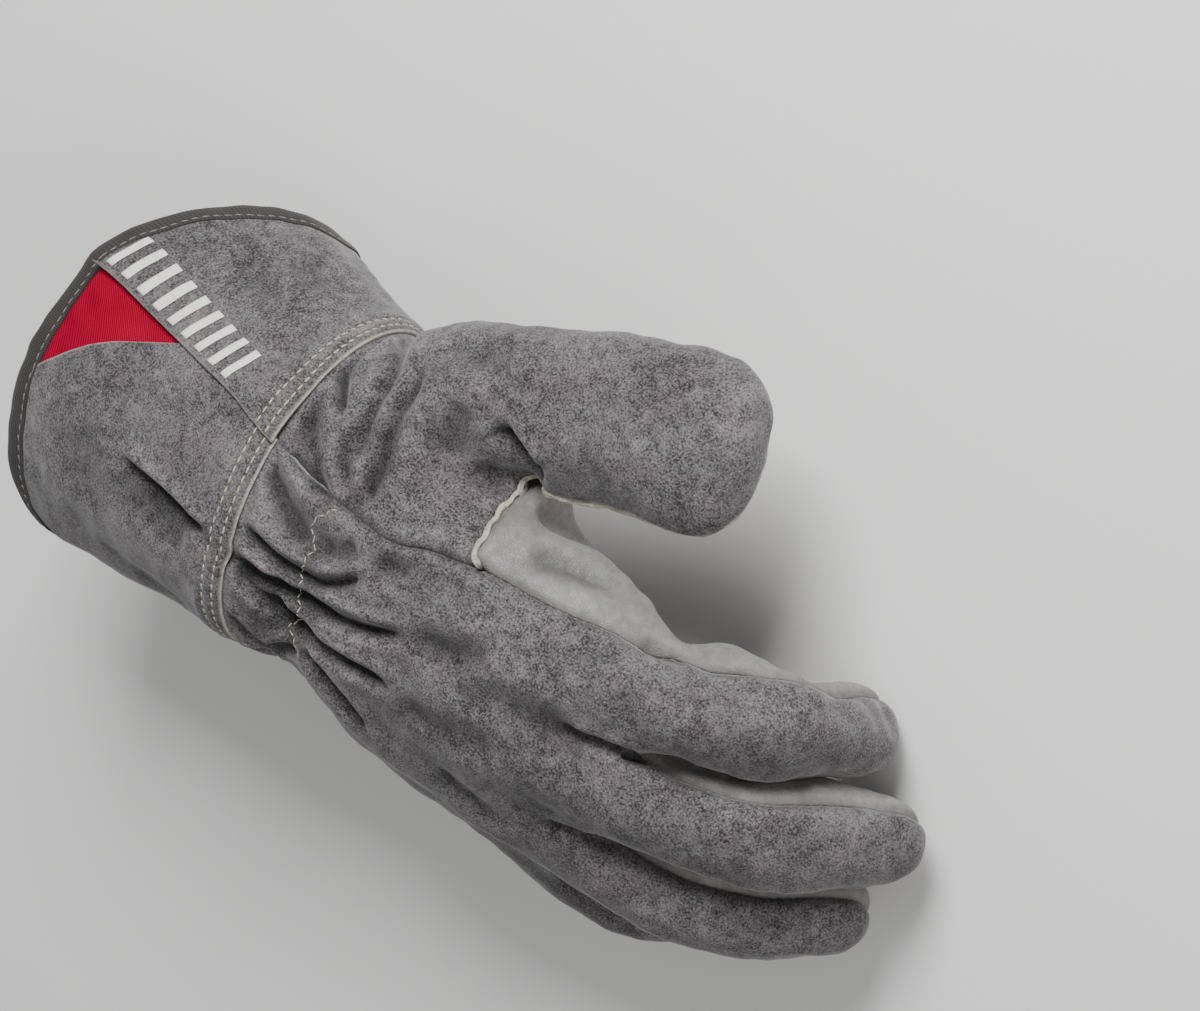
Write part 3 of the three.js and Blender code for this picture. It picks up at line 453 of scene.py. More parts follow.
target = np.array(points)
control = target.copy()
coarse = bpy.data.meshes.new("skin_cells")
coarse.from_pydata(control.tolist(), [], cells)
coarse.polygons.foreach_set("material_index", cell_panels)
for _ in range(4):
    coarse.materials.append(bpy.data.materials.new("panel"))
coarse_object = new_object("skin_cells", coarse)
smoother = coarse_object.modifiers.new("smooth", "SUBSURF")
smoother.levels = SMOOTH_LEVELS
smoother.boundary_smooth = "PRESERVE_CORNERS"
for step in range(SMOOTH_PASSES + 1):
    coarse.vertices.foreach_set("co", control.ravel())
    coarse.update()
    fine = bpy.data.meshes.new_from_object(coarse_object.evaluated_get(bpy.context.evaluated_depsgraph_get()))
    skin = np.empty(len(fine.vertices) * 3)
    fine.vertices.foreach_get("co", skin)
    skin = skin.reshape(-1, 3)
    if step < SMOOTH_PASSES:
        control += target - skin[: len(target)]
        bpy.data.meshes.remove(fine)
quads = np.array([tuple(p.vertices) for p in fine.polygons])
quad_panels = np.array([p.material_index for p in fine.polygons])
bpy.data.objects.remove(coarse_object)

# The hand and the pull of the seams shift the skin a little here and there: place in the photograph,
# how far behind it, move to the picture's right and up, and how far round it this reaches
PULLS = [
    # the web between thumb and hand, and the hollow of the palm behind it
    ((500, 488), 0, 8.5, 0.8, 15),
    ((524, 477), 0, 3.8, 0.4, 9),
    ((572, 514), 4, -8.0, -3.0, 11),
    ((562, 520), 5, -7.0, -3.5, 10),
    # the end of the thumb's welt, and the thumb's lower side
    ((490, 590), 0, 0.0, 4.7, 16),
    ((428, 566), 0, 0.0, 3.4, 10),
    ((612, 500), 0, 0.0, 3.2, 13),
    # the ball of the palm, and its bulge below the root of the first finger
    ((634, 612), 5, 3.2, 2.4, 13),
    ((730, 676), 11, 0.0, 7.0, 12),
    ((712, 672), 0, 0.0, -4.6, 10),
    ((645, 645), 0, 0.0, -3.2, 10),
    # the first finger's two sides and its tip, and the second finger's upper side
    ((800, 700), 3, 0.0, 3.0, 10),
    ((820, 768), 3, 0.0, 2.4, 12),
    ((893, 712), 3, -1.8, -1.6, 9),
    ((826, 800), 3, 0.0, 2.6, 12),
]


def tree_of(places, faces):
    """A search tree of a surface's faces."""
    return BVHTree.FromPolygons(places.tolist(), faces.tolist())


def smooth_line(corners, step=0.2):
    """Points on a smooth curve through a few corners."""
    corners = np.array(corners, float)
    ends = [2 * corners[0] - corners[1], 2 * corners[-1] - corners[-2]]
    knots = np.vstack([ends[0], corners, ends[1]])
    line = []
    for i in range(1, len(knots) - 2):
        for t in np.arange(0, 1, step):
            a, b, c, d = knots[i - 1 : i + 3]
            bend = (2 * a - 5 * b + 4 * c - d) * t**2 + (3 * b - a - 3 * c + d) * t**3
            line.append((2 * b + (c - a) * t + bend) / 2)
    return np.array(line + [corners[-1]])


def seen_at(tree, pixels):
    """Points of a surface that the camera sees along a curve through places in the photograph."""
    found = []
    for x, y in smooth_line(pixels):
        scale = VIEW_WIDTH / PICTURE[0]
        through = VIEW_CENTRE + right * (x - PRINCIPAL[0]) * scale - upward * (y - PRINCIPAL[1]) * scale
        spot = tree.ray_cast(Vector(eye), Vector(through - eye))[0]
        if spot is not None:
            found.append(np.array(spot))
    return np.array(found)


def near_to(spot, places, reach):
    """How near each place is to a spot: 1 there, and next to nothing at twice the reach."""
    return bell(np.linalg.norm(places - spot, axis=1), reach)


for pixel, behind, move_right, move_up, reach in PULLS:
    middle = seen_at(tree_of(skin, quads), [pixel, pixel])[0] - toward * behind
    skin = skin + (right * move_right + upward * move_up) * near_to(middle, skin, reach)[:, None]


def vertex_normals(places, faces):
    """Outward normals of points by the faces round them."""
    a, b, c, d = places[faces].transpose(1, 0, 2)
    cross = np.cross(c - a, d - b)
    normals = np.zeros_like(places)
    for k in range(faces.shape[1]):
        np.add.at(normals, faces[:, k], cross)
    return unit(normals)


def tube_line(corners):
    """Points on hand or cuff along a curve through places given as distance from the seam and column."""
    mm, column = smooth_line(corners).T
    return tube_point(share(mm, column), column)


LIP_AT = 1.7
LIP_WIDTH = 0.9


def lengths_to(line):
    """How far each point of a line lies along it."""
    return np.concatenate([[0], np.cumsum(np.linalg.norm(np.diff(line, axis=0), axis=1))])


def fold_along(places, normals, line, depth, width, lips=(0, 0), power=2.0, fade=0.17):
    """How far each place moves out for a fold pressed in along a line; lips rise on its left and right."""
    moved = np.zeros(len(places))
    if len(line) < 2:
        return moved
    reach = 4 * width
    near = np.where(((places > line.min(0) - reach) & (places < line.max(0) + reach)).all(1))[0]
    before = lengths_to(line)
    best = np.full(len(near), np.inf)
    offset, tangent, where = np.zeros((len(near), 3)), np.zeros((len(near), 3)), np.zeros(len(near))
    for start, run, first in zip(line, np.diff(line, axis=0), before):
        length = np.linalg.norm(run)
        t = np.clip(((places[near] - start) @ run) / max(length**2, 1e-9), 0, 1)
        off = places[near] - start - t[:, None] * run
        gap = np.linalg.norm(off, axis=1)
        closer = gap < best
        best[closer] = gap[closer]
        offset[closer] = off[closer]
        tangent[closer] = run / max(length, 1e-9)
        where[closer] = ((first + t * length) / before[-1])[closer]
    side = np.sign((offset * np.cross(normals[near], tangent)).sum(1))
    u = best / width * side
    profile = -depth * np.exp(-np.abs(u) ** power)
    profile += lips[0] * bell(u - LIP_AT, LIP_WIDTH) + lips[1] * bell(u + LIP_AT, LIP_WIDTH)
    moved[near] = profile * ease(where / fade) * ease((1 - where) / fade)
    return moved


WAVES = 28
WAVE_SIZES = (0.55, 1.4)
WAVE_SUM = 5.3


def rough(places, scale, seed):
    """Soft uneven heights between about -1 and 1, with bumps of about the given size."""
    random = np.random.default_rng(seed)
    total = np.zeros(len(places))
    for _ in range(WAVES):
        wave = unit(random.normal(size=3)) * (2 * np.pi / scale) * random.uniform(*WAVE_SIZES)
        total += np.sin(places @ wave + random.uniform(0, 2 * np.pi))
    return total / WAVE_SUM


# The second finger lies close under the first: finger, place along it, point of its ring, rise and reach
CLOSE = [(1, 0.5, 0, 2.0, 16), (1, 0.7, 0, 1.4, 14), (0, 0.6, 8, 1.0, 14)]
skin_normals = vertex_normals(skin, quads)
for f, at, point, rise, reach in CLOSE:
    swollen = finger_ring(f, at)[point]
    facing = np.clip((skin_normals @ unit(swollen - finger_place(f, at)[0])), 0, 1)
    skin = skin + skin_normals * (rise * near_to(swollen, skin, reach) * facing)[:, None]
skin_normals = vertex_normals(skin, quads)
skin_tree = tree_of(skin, quads)

# Folds of the suede, each along a line through places in the photograph: depth, width, lips on its left
# and right, and the power that gives its valley its shape, round at 2 and sharper below it
HAND_CREASES = [
    # by the cuff seam, over the wrist
    ([(264, 450), (274, 478), (290, 516), (306, 548)], 3.8, 3.4, (1.4, 1.2), 1.9),
    ([(236, 520), (248, 534), (273, 559), (309, 581), (346, 582), (370, 570)], 4.2, 2.1, (1.6, 1.1), 1.25),
    ([(214, 542), (228, 555), (265, 582), (312, 606), (346, 623), (384, 634), (412, 637)],
     4.8, 2.2, (1.8, 1.2), 1.25),
    ([(220, 556), (240, 578), (258, 594), (293, 622), (330, 655), (376, 684), (396, 697)],
     4.2, 2.2, (1.5, 1.1), 1.3),
    ([(214, 600), (243, 632), (268, 646), (300, 653)], 2.8, 2.0, (0.9, 0.9), 1.4),
    ([(299, 650), (322, 676), (345, 706), (366, 735)], 2.8, 2.6, (1.0, 0.8), 1.5),
    ([(316, 547), (338, 552), (360, 547)], 2.4, 3.4, (0.8, 0.8), 2.0),
    ([(368, 562), (391, 566), (412, 574)], 2.4, 3.8, (0.8, 0.8), 2.0),
    ([(408, 632), (432, 646), (462, 655), (492, 660)], 2.8, 4.6, (0.8, 0.8), 2.0),
    ([(282, 560), (276, 600), (282, 640)], 1.6, 3.0, (0.4, 0.4), 2.0),
    ([(395, 700), (440, 730), (500, 752)], 2.0, 5.0, (0.7, 0.7), 2.0),
    ([(580, 742), (540, 722), (500, 700), (450, 690)], 1.6, 5.0, (0.5, 0.5), 2.0),
    ([(500, 826), (470, 800), (430, 770)], 1.6, 4.0, (0.5, 0.5), 2.0),
    ([(528, 552), (556, 562), (590, 578), (618, 588)], 1.8, 3.4, (0.6, 0.6), 2.0),
    ([(640, 640), (668, 655), (690, 660)], 1.6, 3.0, (0.5, 0.3), 2.0),
    # before the crotches of the first two fingers and the next two
    ([(552, 729), (578, 738), (606, 748), (634, 756), (654, 764)], 3.4, 2.0, (0.8, 0.5), 1.4),
    ([(540, 822), (566, 830), (596, 838), (622, 848)], 2.2, 2.0, (0.6, 0.4), 1.5),
]
THUMB_CREASES = [
    ([(404, 322), (396, 327), (368, 346), (350, 360), (343, 383), (340, 424)], 4.0, 1.8, (1.3, 1.3), 1.3),
    ([(316, 392), (310, 420), (310, 450), (322, 490), (328, 500)], 3.2, 3.0, (0.9, 1.0), 1.8),
    ([(346, 425), (341, 458), (349, 492), (354, 514)], 2.8, 2.2, (0.7, 1.0), 1.5),
    ([(408, 334), (398, 360), (380, 396), (366, 430), (356, 470)], 2.6, 3.4, (0.6, 1.0), 1.9),
    ([(424, 366), (410, 392), (396, 418), (382, 458), (366, 494), (356, 514)], 3.6, 2.6, (0.9, 1.8), 1.5),
    ([(496, 424), (512, 444), (528, 461), (545, 478)], 5.4, 3.2, (1.5, 0.9), 1.4),
    ([(470, 470), (490, 482), (506, 494)], 1.4, 3.6, (0.6, 0.6), 2.0),
    ([(296, 428), (294, 450), (302, 478)], 2.2, 2.4, (0.7, 0.7), 1.8),
    ([(440, 350), (470, 354), (510, 368)], 1.4, 5.0, (0.4, 0.4), 2.0),
    ([(466, 402), (452, 430), (446, 462)], 1.6, 5.5, (0.5, 0.5), 2.0),
]
# The elastic sewn across the wrist, which gathers the back
ELASTIC = [(334, 510), (313, 523), (315, 548), (305, 560), (300, 590), (298, 620), (290, 625), (297, 650)]
ELASTIC_PRESS = (1.4, 6.0, (0, 0), 2.0, 0.1)
# Folds on the sides that the photograph doesn't show: distance from the cuff seam and column
HIDDEN_CREASES = [
    ([(4, 14.5), (16, 15), (34, 16.2)], 2.6, 2.4, (0.9, 0.9), 1.4),
    ([(5, 17), (18, 17.2), (36, 18)], 2.4, 2.4, (0.9, 0.9), 1.4),
    ([(5, 22.5), (18, 22.8), (30, 23.6)], 1.6, 2.6, (0.6, 0.6), 1.8),
    ([(5, 25.5), (20, 26.5), (40, 27.0)], 1.8, 2.6, (0.7, 0.7), 1.6),
    ([(5, 28.6), (16, 29), (30, 30.5)], 1.4, 2.8, (0.6, 0.6), 1.8),
    ([(14, 32), (40, 30.5), (64, 31.5), (84, 34)], 2.2, 3.0, (0.8, 0.8), 1.6),
    ([(92, 38.4), (84, 33), (76, 28), (62, 25)], 2.0, 2.6, (0.8, 0.8), 1.5),
    ([(104, 36), (98, 31), (99, 26), (106, 22)], 1.8, 2.4, (0.7, 0.7), 1.5),
    ([(46, 23), (60, 21.8), (78, 22.4)], 1.6, 3.4, (0.6, 0.6), 1.8),
]
# Creases across the fronts of the fingers: place along the finger and depth, and what is the same in all
FINGER_CREASES = [(0.44, 1.3), (0.76, 0.9), (0.24, 0.8)]
FINGER_CREASE = (1.7, (0.5, 0.5), 1.6)
FRONT_POINTS = slice(9, 16)
# Soft bumps: height, size and seed
SKIN_BUMPS = [(0.45, 26, 3), (0.22, 9, 4)]


def bumps(places, sizes):
    """Soft bumps of several sizes, added up."""
    return sum(height * rough(places, size, seed) for height, size, seed in sizes)


moved = np.zeros(len(skin))
for pixels, *fold in HAND_CREASES + THUMB_CREASES:
    moved += fold_along(skin, skin_normals, seen_at(skin_tree, pixels), *fold)
for corners, *fold in HIDDEN_CREASES:
    moved += fold_along(skin, skin_normals, tube_line(corners), *fold)
for f in range(4):
    for at, depth in FINGER_CREASES:
        moved += fold_along(skin, skin_normals, finger_ring(f, at)[FRONT_POINTS], depth, *FINGER_CREASE)
moved += bumps(skin, SKIN_BUMPS)
moved += fold_along(skin, skin_normals, seen_at(skin_tree, ELASTIC), *ELASTIC_PRESS)

# Nothing folds under the cuff's lapped edge, where the hand is sewn to it, but for one fold across both
CLEAR_FROM = 0.5
CLEAR_OVER = 2.5
LAP_NEAR = 6
ACROSS_LAP = [(-22, 6.2), (-12, 6.4), (-4, 6.6), (2, 6.7), (10, 6.9), (20, 7.1)]
ACROSS_HAND = (2.5, 2.2, (0.2, 0.2), 1.6, 0.3)
# The thumb's root swells out beside the cuff: place in the photograph, rise and reach
ROOT_AT = (448, 340)
ROOT_RISE = 4.2
ROOT_REACH = 13


def point_tree(places):
    """A search tree of points."""
    tree = KDTree(len(places))
    for i, spot in enumerate(places):
        tree.insert(spot, i)
    tree.balance()
    return tree


lap_grid = [(mm, column) for mm in np.arange(-10.0, 24, 1) for column in np.arange(0, COLUMNS, 0.5)]
lap_mm, lap_columns = np.array(lap_grid).T
lap_tree = point_tree(tube_point(share(lap_mm, lap_columns), lap_columns))
clear = np.ones(len(skin))
for i, spot in enumerate(skin):
    _, k, gap = lap_tree.find(spot)
    if gap < LAP_NEAR:
        clear[i] = np.clip((lap_mm[k] - LAP_FRONT - CLEAR_FROM) / CLEAR_OVER, 0, 1)
moved += ROOT_RISE * near_to(seen_at(skin_tree, [ROOT_AT, ROOT_AT])[0], skin, ROOT_REACH)
moved *= ease(clear)
moved += fold_along(skin, skin_normals, tube_line(ACROSS_LAP), *ACROSS_HAND)

# Seams draw the skin in, and it swells a little on both sides of them
edge_panels = {}
for face, panel in zip(quads.tolist(), quad_panels.tolist()):
    for a, b in zip(face, face[1:] + face[:1]):
        edge_panels.setdefault((a, b) if a < b else (b, a), set()).add(panel)


def seam_chains(*pairs):
    """Numbers of the skin's points along the seams between panels, one list for each unbroken seam."""
    beside = {}
    for (a, b), found in edge_panels.items():
        if any(set(pair) == found for pair in pairs):
            beside.setdefault(a, []).append(b)
            beside.setdefault(b, []).append(a)
    chains, done = [], set()
    for start in sorted(beside, key=lambda k: len(beside[k])):
        if start in done:
            continue
        chain = [start]
        done.add(start)
        while True:
            ahead = [k for k in beside[chain[-1]] if k not in done]
            if not ahead:
                break
            chain.append(ahead[0])
            done.add(ahead[0])
        chains.append(chain)
    return chains


SIDE_SEAMS = [(BACK, PALM), (BACK, FRONTS)]
# The panels on both sides of a seam, its depth and width, and how far the leather swells beside it
SEAM_PULLS = [
    (SIDE_SEAMS, 1.15, 1.3, 0.4),
    ([(BACK, THUMB)], 1.5, 1.3, 0.35),
    ([(PALM, FRONTS)], 0.8, 1.6, 0.3),
    ([(PALM, THUMB)], 0.9, 1.4, 0.3),
]
SWELL_AT = 4.2
SWELL_WIDTH = 2.2
for pairs, depth, width, swell in SEAM_PULLS:
    seam_tree = point_tree(skin[[k for chain in seam_chains(*pairs) for k in chain]])
    gap = np.array([seam_tree.find(spot)[2] for spot in skin])
    moved += (swell * bell(gap - SWELL_AT, SWELL_WIDTH) - depth * bell(gap, width)) * ease(clear)
skin = skin + skin_normals * moved[:, None]
skin_height = moved
skin_normals = vertex_normals(skin, quads)
skin_tree = tree_of(skin, quads)


def add_node(tree, kind, feeds=None, **settings):
    """Adds a node with its settings; feeds gives its inputs a value, or the socket that feeds them."""
    node = tree.nodes.new(kind)
    for key, value in settings.items():
        setattr(node, key, value)
    for key, value in (feeds or {}).items():
        if isinstance(value, bpy.types.NodeSocket):
            tree.links.new(value, node.inputs[key])
        else:
            node.inputs[key].default_value = value
    return node


def mix(tree, factor, a, b, blend="MIX"):
    """The colour between two colours."""
    feeds = {0: factor, 6: a, 7: b}
    return add_node(tree, "ShaderNodeMix", feeds, data_type="RGBA", blend_type=blend).outputs[2]


def math(tree, operation, *values):
    """The result of one sum."""
    return add_node(tree, "ShaderNodeMath", dict(enumerate(values)), operation=operation).outputs[0]


def spread(tree, value, low, high, to_low=0.0, to_high=1.0):
    """A value stretched from one range to another."""
    feeds = {"Value": value, "From Min": low, "From Max": high, "To Min": to_low, "To Max": to_high}
    return add_node(tree, "ShaderNodeMapRange", feeds).outputs[0]


def noise(tree, vector, scale, detail=2.0, roughness=0.5, distortion=0.0):
    """The value of a noise texture."""
    feeds = {"Vector": vector, "Scale": scale, "Detail": detail, "Roughness": roughness}
    return add_node(tree, "ShaderNodeTexNoise", {**feeds, "Distortion": distortion}).outputs[0]


def sum_of(tree, a, share_a, b, share_b):
    """Two values added up, each times its share."""
    return math(tree, "MULTIPLY_ADD", a, share_a, math(tree, "MULTIPLY", b, share_b))


def new_group(name, inputs, outputs, group_type="ShaderNodeTree"):
    """A node group with named inputs and outputs, and the sockets that stand for them in it."""
    group = bpy.data.node_groups.new(name, group_type)
    for sockets, way in ((inputs, "INPUT"), (outputs, "OUTPUT")):
        for label, kind in sockets.items():
            group.interface.new_socket(label, in_out=way, socket_type="NodeSocket" + kind)
    return group, group.nodes.new("NodeGroupInput").outputs, group.nodes.new("NodeGroupOutput").inputs


# The mottle of leather: specks, blotches and clouds of given scales, and the relief of the specks
mottle_inputs = {"Vector": "Vector", "Speck": "Float", "Blotch": "Float", "Cloud": "Float"}
mottle, given, made = new_group("mottle", mottle_inputs, {"Value": "Float", "Relief": "Float"})
speck = noise(mottle, given["Vector"], given["Speck"], 2.0, 0.55)
blotch = noise(mottle, given["Vector"], given["Blotch"], 3.0, 0.6)
cloud = noise(mottle, given["Vector"], given["Cloud"], 2.0, 0.5)
every = math(mottle, "MULTIPLY_ADD", cloud, 0.18, sum_of(mottle, speck, 0.56, blotch, 0.26))
mottle.links.new(spread(mottle, every, 0.4, 0.62), made["Value"])
mottle.links.new(sum_of(mottle, speck, 0.7, blotch, 0.3), made["Relief"])

# Painted shade and highlight over the leather's folds, from the fold height each point carries: darker down
# in the valleys as painted shade, lighter on the ridges as painted highlight and partly as rubbed wear
fold_shade_and_wear, given, made = new_group("fold_shade_and_wear", {"Color": "Color", "Height": "Float"}, {"Color": "Color"})
shade = spread(fold_shade_and_wear, given["Height"], -3.2, 1.4, 0.3, 1.16)
grey = add_node(fold_shade_and_wear, "ShaderNodeCombineColor", {0: shade, 1: shade, 2: shade}).outputs[0]
fold_shade_and_wear.links.new(mix(fold_shade_and_wear, 1.0, given["Color"], grey, "MULTIPLY"), made["Color"])


def finish_of(name, roughness, sheen=0.0, specular=0.5):
    """A new material, with its nodes, its shader and its coordinates."""
    material = bpy.data.materials.new(name)
    material.use_nodes = True
    tree = material.node_tree
    shader = tree.nodes["Principled BSDF"]
    shader.inputs["Roughness"].default_value = roughness
    shader.inputs["Sheen Weight"].default_value = sheen
    shader.inputs["Sheen Roughness"].default_value = 0.45
    shader.inputs["Specular IOR Level"].default_value = specular
    return material, tree, shader, add_node(tree, "ShaderNodeTexCoord").outputs["Object"]


def carried(tree, name):
    """A number that each point of the mesh carries."""
    return add_node(tree, "ShaderNodeAttribute", attribute_name=name).outputs["Fac"]


def put(tree, shader, color, relief=None, strength=0.5, distance=0.0004):
    """Gives a shader its colour and, through a bump, its relief."""
    tree.links.new(color, shader.inputs["Base Color"])
    if relief is not None:
        feeds = {"Strength": strength, "Distance": distance, "Height": relief}
        bump = add_node(tree, "ShaderNodeBump", feeds)
        tree.links.new(bump.outputs[0], shader.inputs["Normal"])


def use_group(tree, group, feeds):
    """Places a node group in a material."""
    return add_node(tree, "ShaderNodeGroup", feeds, node_tree=group).outputs


# Suede: split cowhide, brushed and mottled grey with a touch of purple, and cream where it is cut
SUEDE_DARK = (0.024, 0.0226, 0.0244, 1)
SUEDE_LIGHT = (0.188, 0.1775, 0.179, 1)
SUEDE_TINT = (1.05, 0.96, 0.985, 1)
CUT_CREAM = (0.56, 0.51, 0.43, 1)
CUT_SHADE = (0.3, 0.275, 0.235, 1)
suede, tree, shader, place = finish_of("suede", 0.95, 0.3, 0.2)
spots = use_group(tree, mottle, {"Vector": place, "Speck": 1700, "Blotch": 260, "Cloud": 34})
color = mix(tree, spots["Value"], SUEDE_DARK, SUEDE_LIGHT)
tinted = mix(tree, 1.0, color, SUEDE_TINT, "MULTIPLY")
color = mix(tree, spread(tree, noise(tree, place, 75, 3.0), 0.42, 0.62), color, tinted)
# The folds' height paints shade into the suede's valleys and a painted highlight, partly rubbed wear, onto
# its ridges
color = use_group(tree, fold_shade_and_wear, {"Color": color, "Height": carried(tree, "height")})["Color"]
fibre = noise(tree, place, 900, 3.0, 0.7)
cream = mix(tree, spread(tree, fibre, 0.35, 0.65), CUT_SHADE, CUT_CREAM)
color = mix(tree, carried(tree, "cut"), color, cream)
put(tree, shader, color, spots["Relief"], 0.22, 0.0007)

# Grain leather: smooth and pale warm grey, with fine pebbles, soft clouds, painted shade down in its folds
# and a painted highlight, partly rubbed wear, on their ridges
GRAIN_DARK = (0.115, 0.107, 0.099, 1)
GRAIN_LIGHT = (0.262, 0.249, 0.233, 1)
grain, tree, shader, place = finish_of("grain_leather", 0.5, 0.05, 0.4)
spots = use_group(tree, mottle, {"Vector": place, "Speck": 420, "Blotch": 90, "Cloud": 26})
feeds = {"Vector": place, "Scale": 1150}
pebble = add_node(tree, "ShaderNodeTexVoronoi", feeds, feature="DISTANCE_TO_EDGE").outputs[0]
pebble = spread(tree, pebble, 0.0, 0.22)
color = mix(tree, spread(tree, spots["Value"], -0.9, 1.3), GRAIN_DARK, GRAIN_LIGHT)
color = mix(tree, spread(tree, pebble, 0, 1, 0.16, 0.0), color, GRAIN_DARK)
# The folds' height paints shade into the leather's valleys and a painted highlight, partly rubbed wear, onto
# its ridges
color = use_group(tree, fold_shade_and_wear, {"Color": color, "Height": carried(tree, "height")})["Color"]
tree.links.new(spread(tree, spots["Value"], 0, 1, 0.58, 0.44), shader.inputs["Roughness"])
put(tree, shader, color, sum_of(tree, pebble, 0.6, spots["Relief"], 0.6), 0.4, 0.0003)


# The four pieces of the skin: the back, the palm, the fronts of the two middle fingers and the back of the
# thumb. Each has its panel's faces, given the leather's thickness inwards.
LEATHER = 1.6
SKIN_THICKNESS = LEATHER - 0.1


def lay_down(places):
    """From millimetres in the frame of the hand to metres where the glove lies."""
    return (places @ REST_TURN.T + REST_SHIFT) * MM


def plain_mesh(piece):
    """Makes what a piece's modifiers give its own mesh, and takes them off."""
    mesh = bpy.data.meshes.new_from_object(piece.evaluated_get(bpy.context.evaluated_depsgraph_get()))
    mesh.name = piece.name
    piece.modifiers.clear()
    piece.data = mesh


def add_piece(name, places, faces, material, node, slot, thickness=0, values=None, cloth=None):
    """Makes a piece of faces on the given points, no lower than the floor, without the points they don't use.
    values are numbers that each point carries; cloth is the place of each face corner on the flat goods."""
    used = np.unique(np.concatenate([np.ravel(face) for face in faces]))
    renumber = np.zeros(len(places), int)
    renumber[used] = np.arange(len(used))
    spots = lay_down(places[used])
    spots[:, 2] = np.maximum(spots[:, 2], 0)
    mesh = bpy.data.meshes.new(name)
    mesh.from_pydata(spots.tolist(), [], [renumber[face].tolist() for face in faces])
    mesh.shade_smooth()
    for key, numbers in (values or {}).items():
        mesh.attributes.new(key, "FLOAT", "POINT").data.foreach_set("value", numbers[used])
    if cloth is not None:
        mesh.uv_layers.new(name="cloth").data.foreach_set("uv", (cloth * MM).ravel())
    piece = new_object(name, mesh)
    if thickness:
        solid = piece.modifiers.new("thickness", "SOLIDIFY")
        solid.thickness = thickness * MM
        solid.offset = -1
        solid.use_even_offset = False
        plain_mesh(piece)
    piece.data.materials.append(material)
    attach(piece, "root")
    if node:
        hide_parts(node)
    return piece


for name, panel, material, slot in (
    ("back", BACK, suede, "suede"), ("palm", PALM, grain, "grain_leather"),
    ("finger_fronts", FRONTS, grain, "grain_leather"), ("thumb_back", THUMB, suede, "suede"),
):
    faces = quads[quad_panels == panel]
    add_piece(name + "_skin", skin, faces, material, name, slot, SKIN_THICKNESS, {"height": skin_height})

# The welts: where the thumb and the two middle finger fronts join the palm, the leather's two cut edges are
# sewn together and left standing, cream and a little wavy.
WELT_STEP = 0.7
WELT_CLEAR = 4
WELT_PASSES = 6
WELT_RUN_IN = 5
# What is left of its size at its ends, its size between them, and the height and size of its bumps and waves
WELT_ENDS = 0.4
WELT_SIZE = 0.95
WELT_BUMP = (0.16, 7)
WELT_WAVES = [(0.28, 5.5), (0.12, 2.2)]
# across the seam, out of the skin
WELT_SECTION = np.array([
    (-0.8, -0.8), (-0.9, 0.5), (-0.75, 1.25), (-0.4, 1.5), (-0.1, 1.25),
    (0.08, 1.2), (0.35, 1.6), (0.75, 1.4), (0.9, 0.5), (0.8, -0.8),
])
raw_edge, tree, shader, place = finish_of("raw_edge", 0.9, 0.15, 0.25)
fibre = noise(tree, place, 750, 4.0, 0.7, 0.4)
soiled = spread(tree, noise(tree, place, 90, 3.0), 0.45, 0.7, 0.0, 0.55)
color = mix(tree, spread(tree, fibre, 0.36, 0.62), CUT_SHADE, CUT_CREAM)
put(tree, shader, mix(tree, soiled, color, CUT_SHADE), fibre, 0.7, 0.0005)


def between(places, along, values):
    """Values known at points along a line, at other places along it."""
    return np.stack([np.interp(places, along, values[:, k]) for k in range(3)], -1)


def spaced(line, gap):
    """Points at even distances along a line, and how far along they lie."""
    along = lengths_to(line)
    places = np.linspace(0, along[-1], max(int(along[-1] / gap), 2))
    return between(places, along, line), places


def grid_faces(rows, columns, ring=False, closed=False):
    """Faces of a grid of points in rows; ring joins its last column to its first, closed its last row."""
    r, c = np.meshgrid(np.arange(rows - (not closed)), np.arange(columns - (not ring)), indexing="ij")
    up, on = (r + 1) % rows, (c + 1) % columns
    corners = [up * columns + c, up * columns + on, r * columns + on, r * columns + c]
    return np.stack(corners, -1).reshape(-1, 4)


for name, pair, seed in (("thumb_welt", (PALM, THUMB), 11), ("finger_welt", (PALM, FRONTS), 12)):
    chain = max(seam_chains(pair), key=len)
    middles, along = spaced(skin[chain], WELT_STEP)
    found = [lap_tree.find(spot)[1:] for spot in middles]
    middles = middles[[gap > WELT_CLEAR or lap_mm[k] > LAP_FRONT - 1 for k, gap in found]]
    outs = np.array([skin_tree.find_nearest(spot)[1] for spot in middles])
    for _ in range(WELT_PASSES):
        outs = unit(outs + np.vstack([outs[1:], outs[-1:]]) + np.vstack([outs[:1], outs[:-1]]))
    wave = bumps(middles, [(*bump, seed + k) for k, bump in enumerate(WELT_WAVES)])
    run_in = np.minimum(np.arange(len(middles)), np.arange(len(middles))[::-1])
    sizes = WELT_SIZE + bumps(middles, [(*WELT_BUMP, seed + 2)])
    sizes = sizes * (WELT_ENDS + (1 - WELT_ENDS) * ease(run_in / WELT_RUN_IN))
    tangent = unit(np.gradient(middles, axis=0))
    across = unit(np.cross(tangent, outs))
    outs = np.cross(across, tangent)
    rings = middles[:, None] + across[:, None] * (WELT_SECTION[None, :, :1] * sizes[:, None, None])
    rings = rings + outs[:, None] * (WELT_SECTION[None, :, 1:] * sizes[:, None, None])
    rings = rings + across[:, None] * wave[:, None, None]
    count, size = rings.shape[:2]
    faces = grid_faces(count, size, ring=True)[:, ::-1].tolist()
    faces += [list(range(size))[::-1], [(count - 1) * size + n for n in range(size)]]
    places = rings.reshape(-1, 3)
    a, b, _, d = places[faces[0]]
    if np.cross(b - a, d - a) @ (a - rings[0].mean(0)) < 0:
        faces = [face[::-1] for face in faces]
    add_piece(name + "_edges", places, faces, raw_edge, name, "raw_edge")

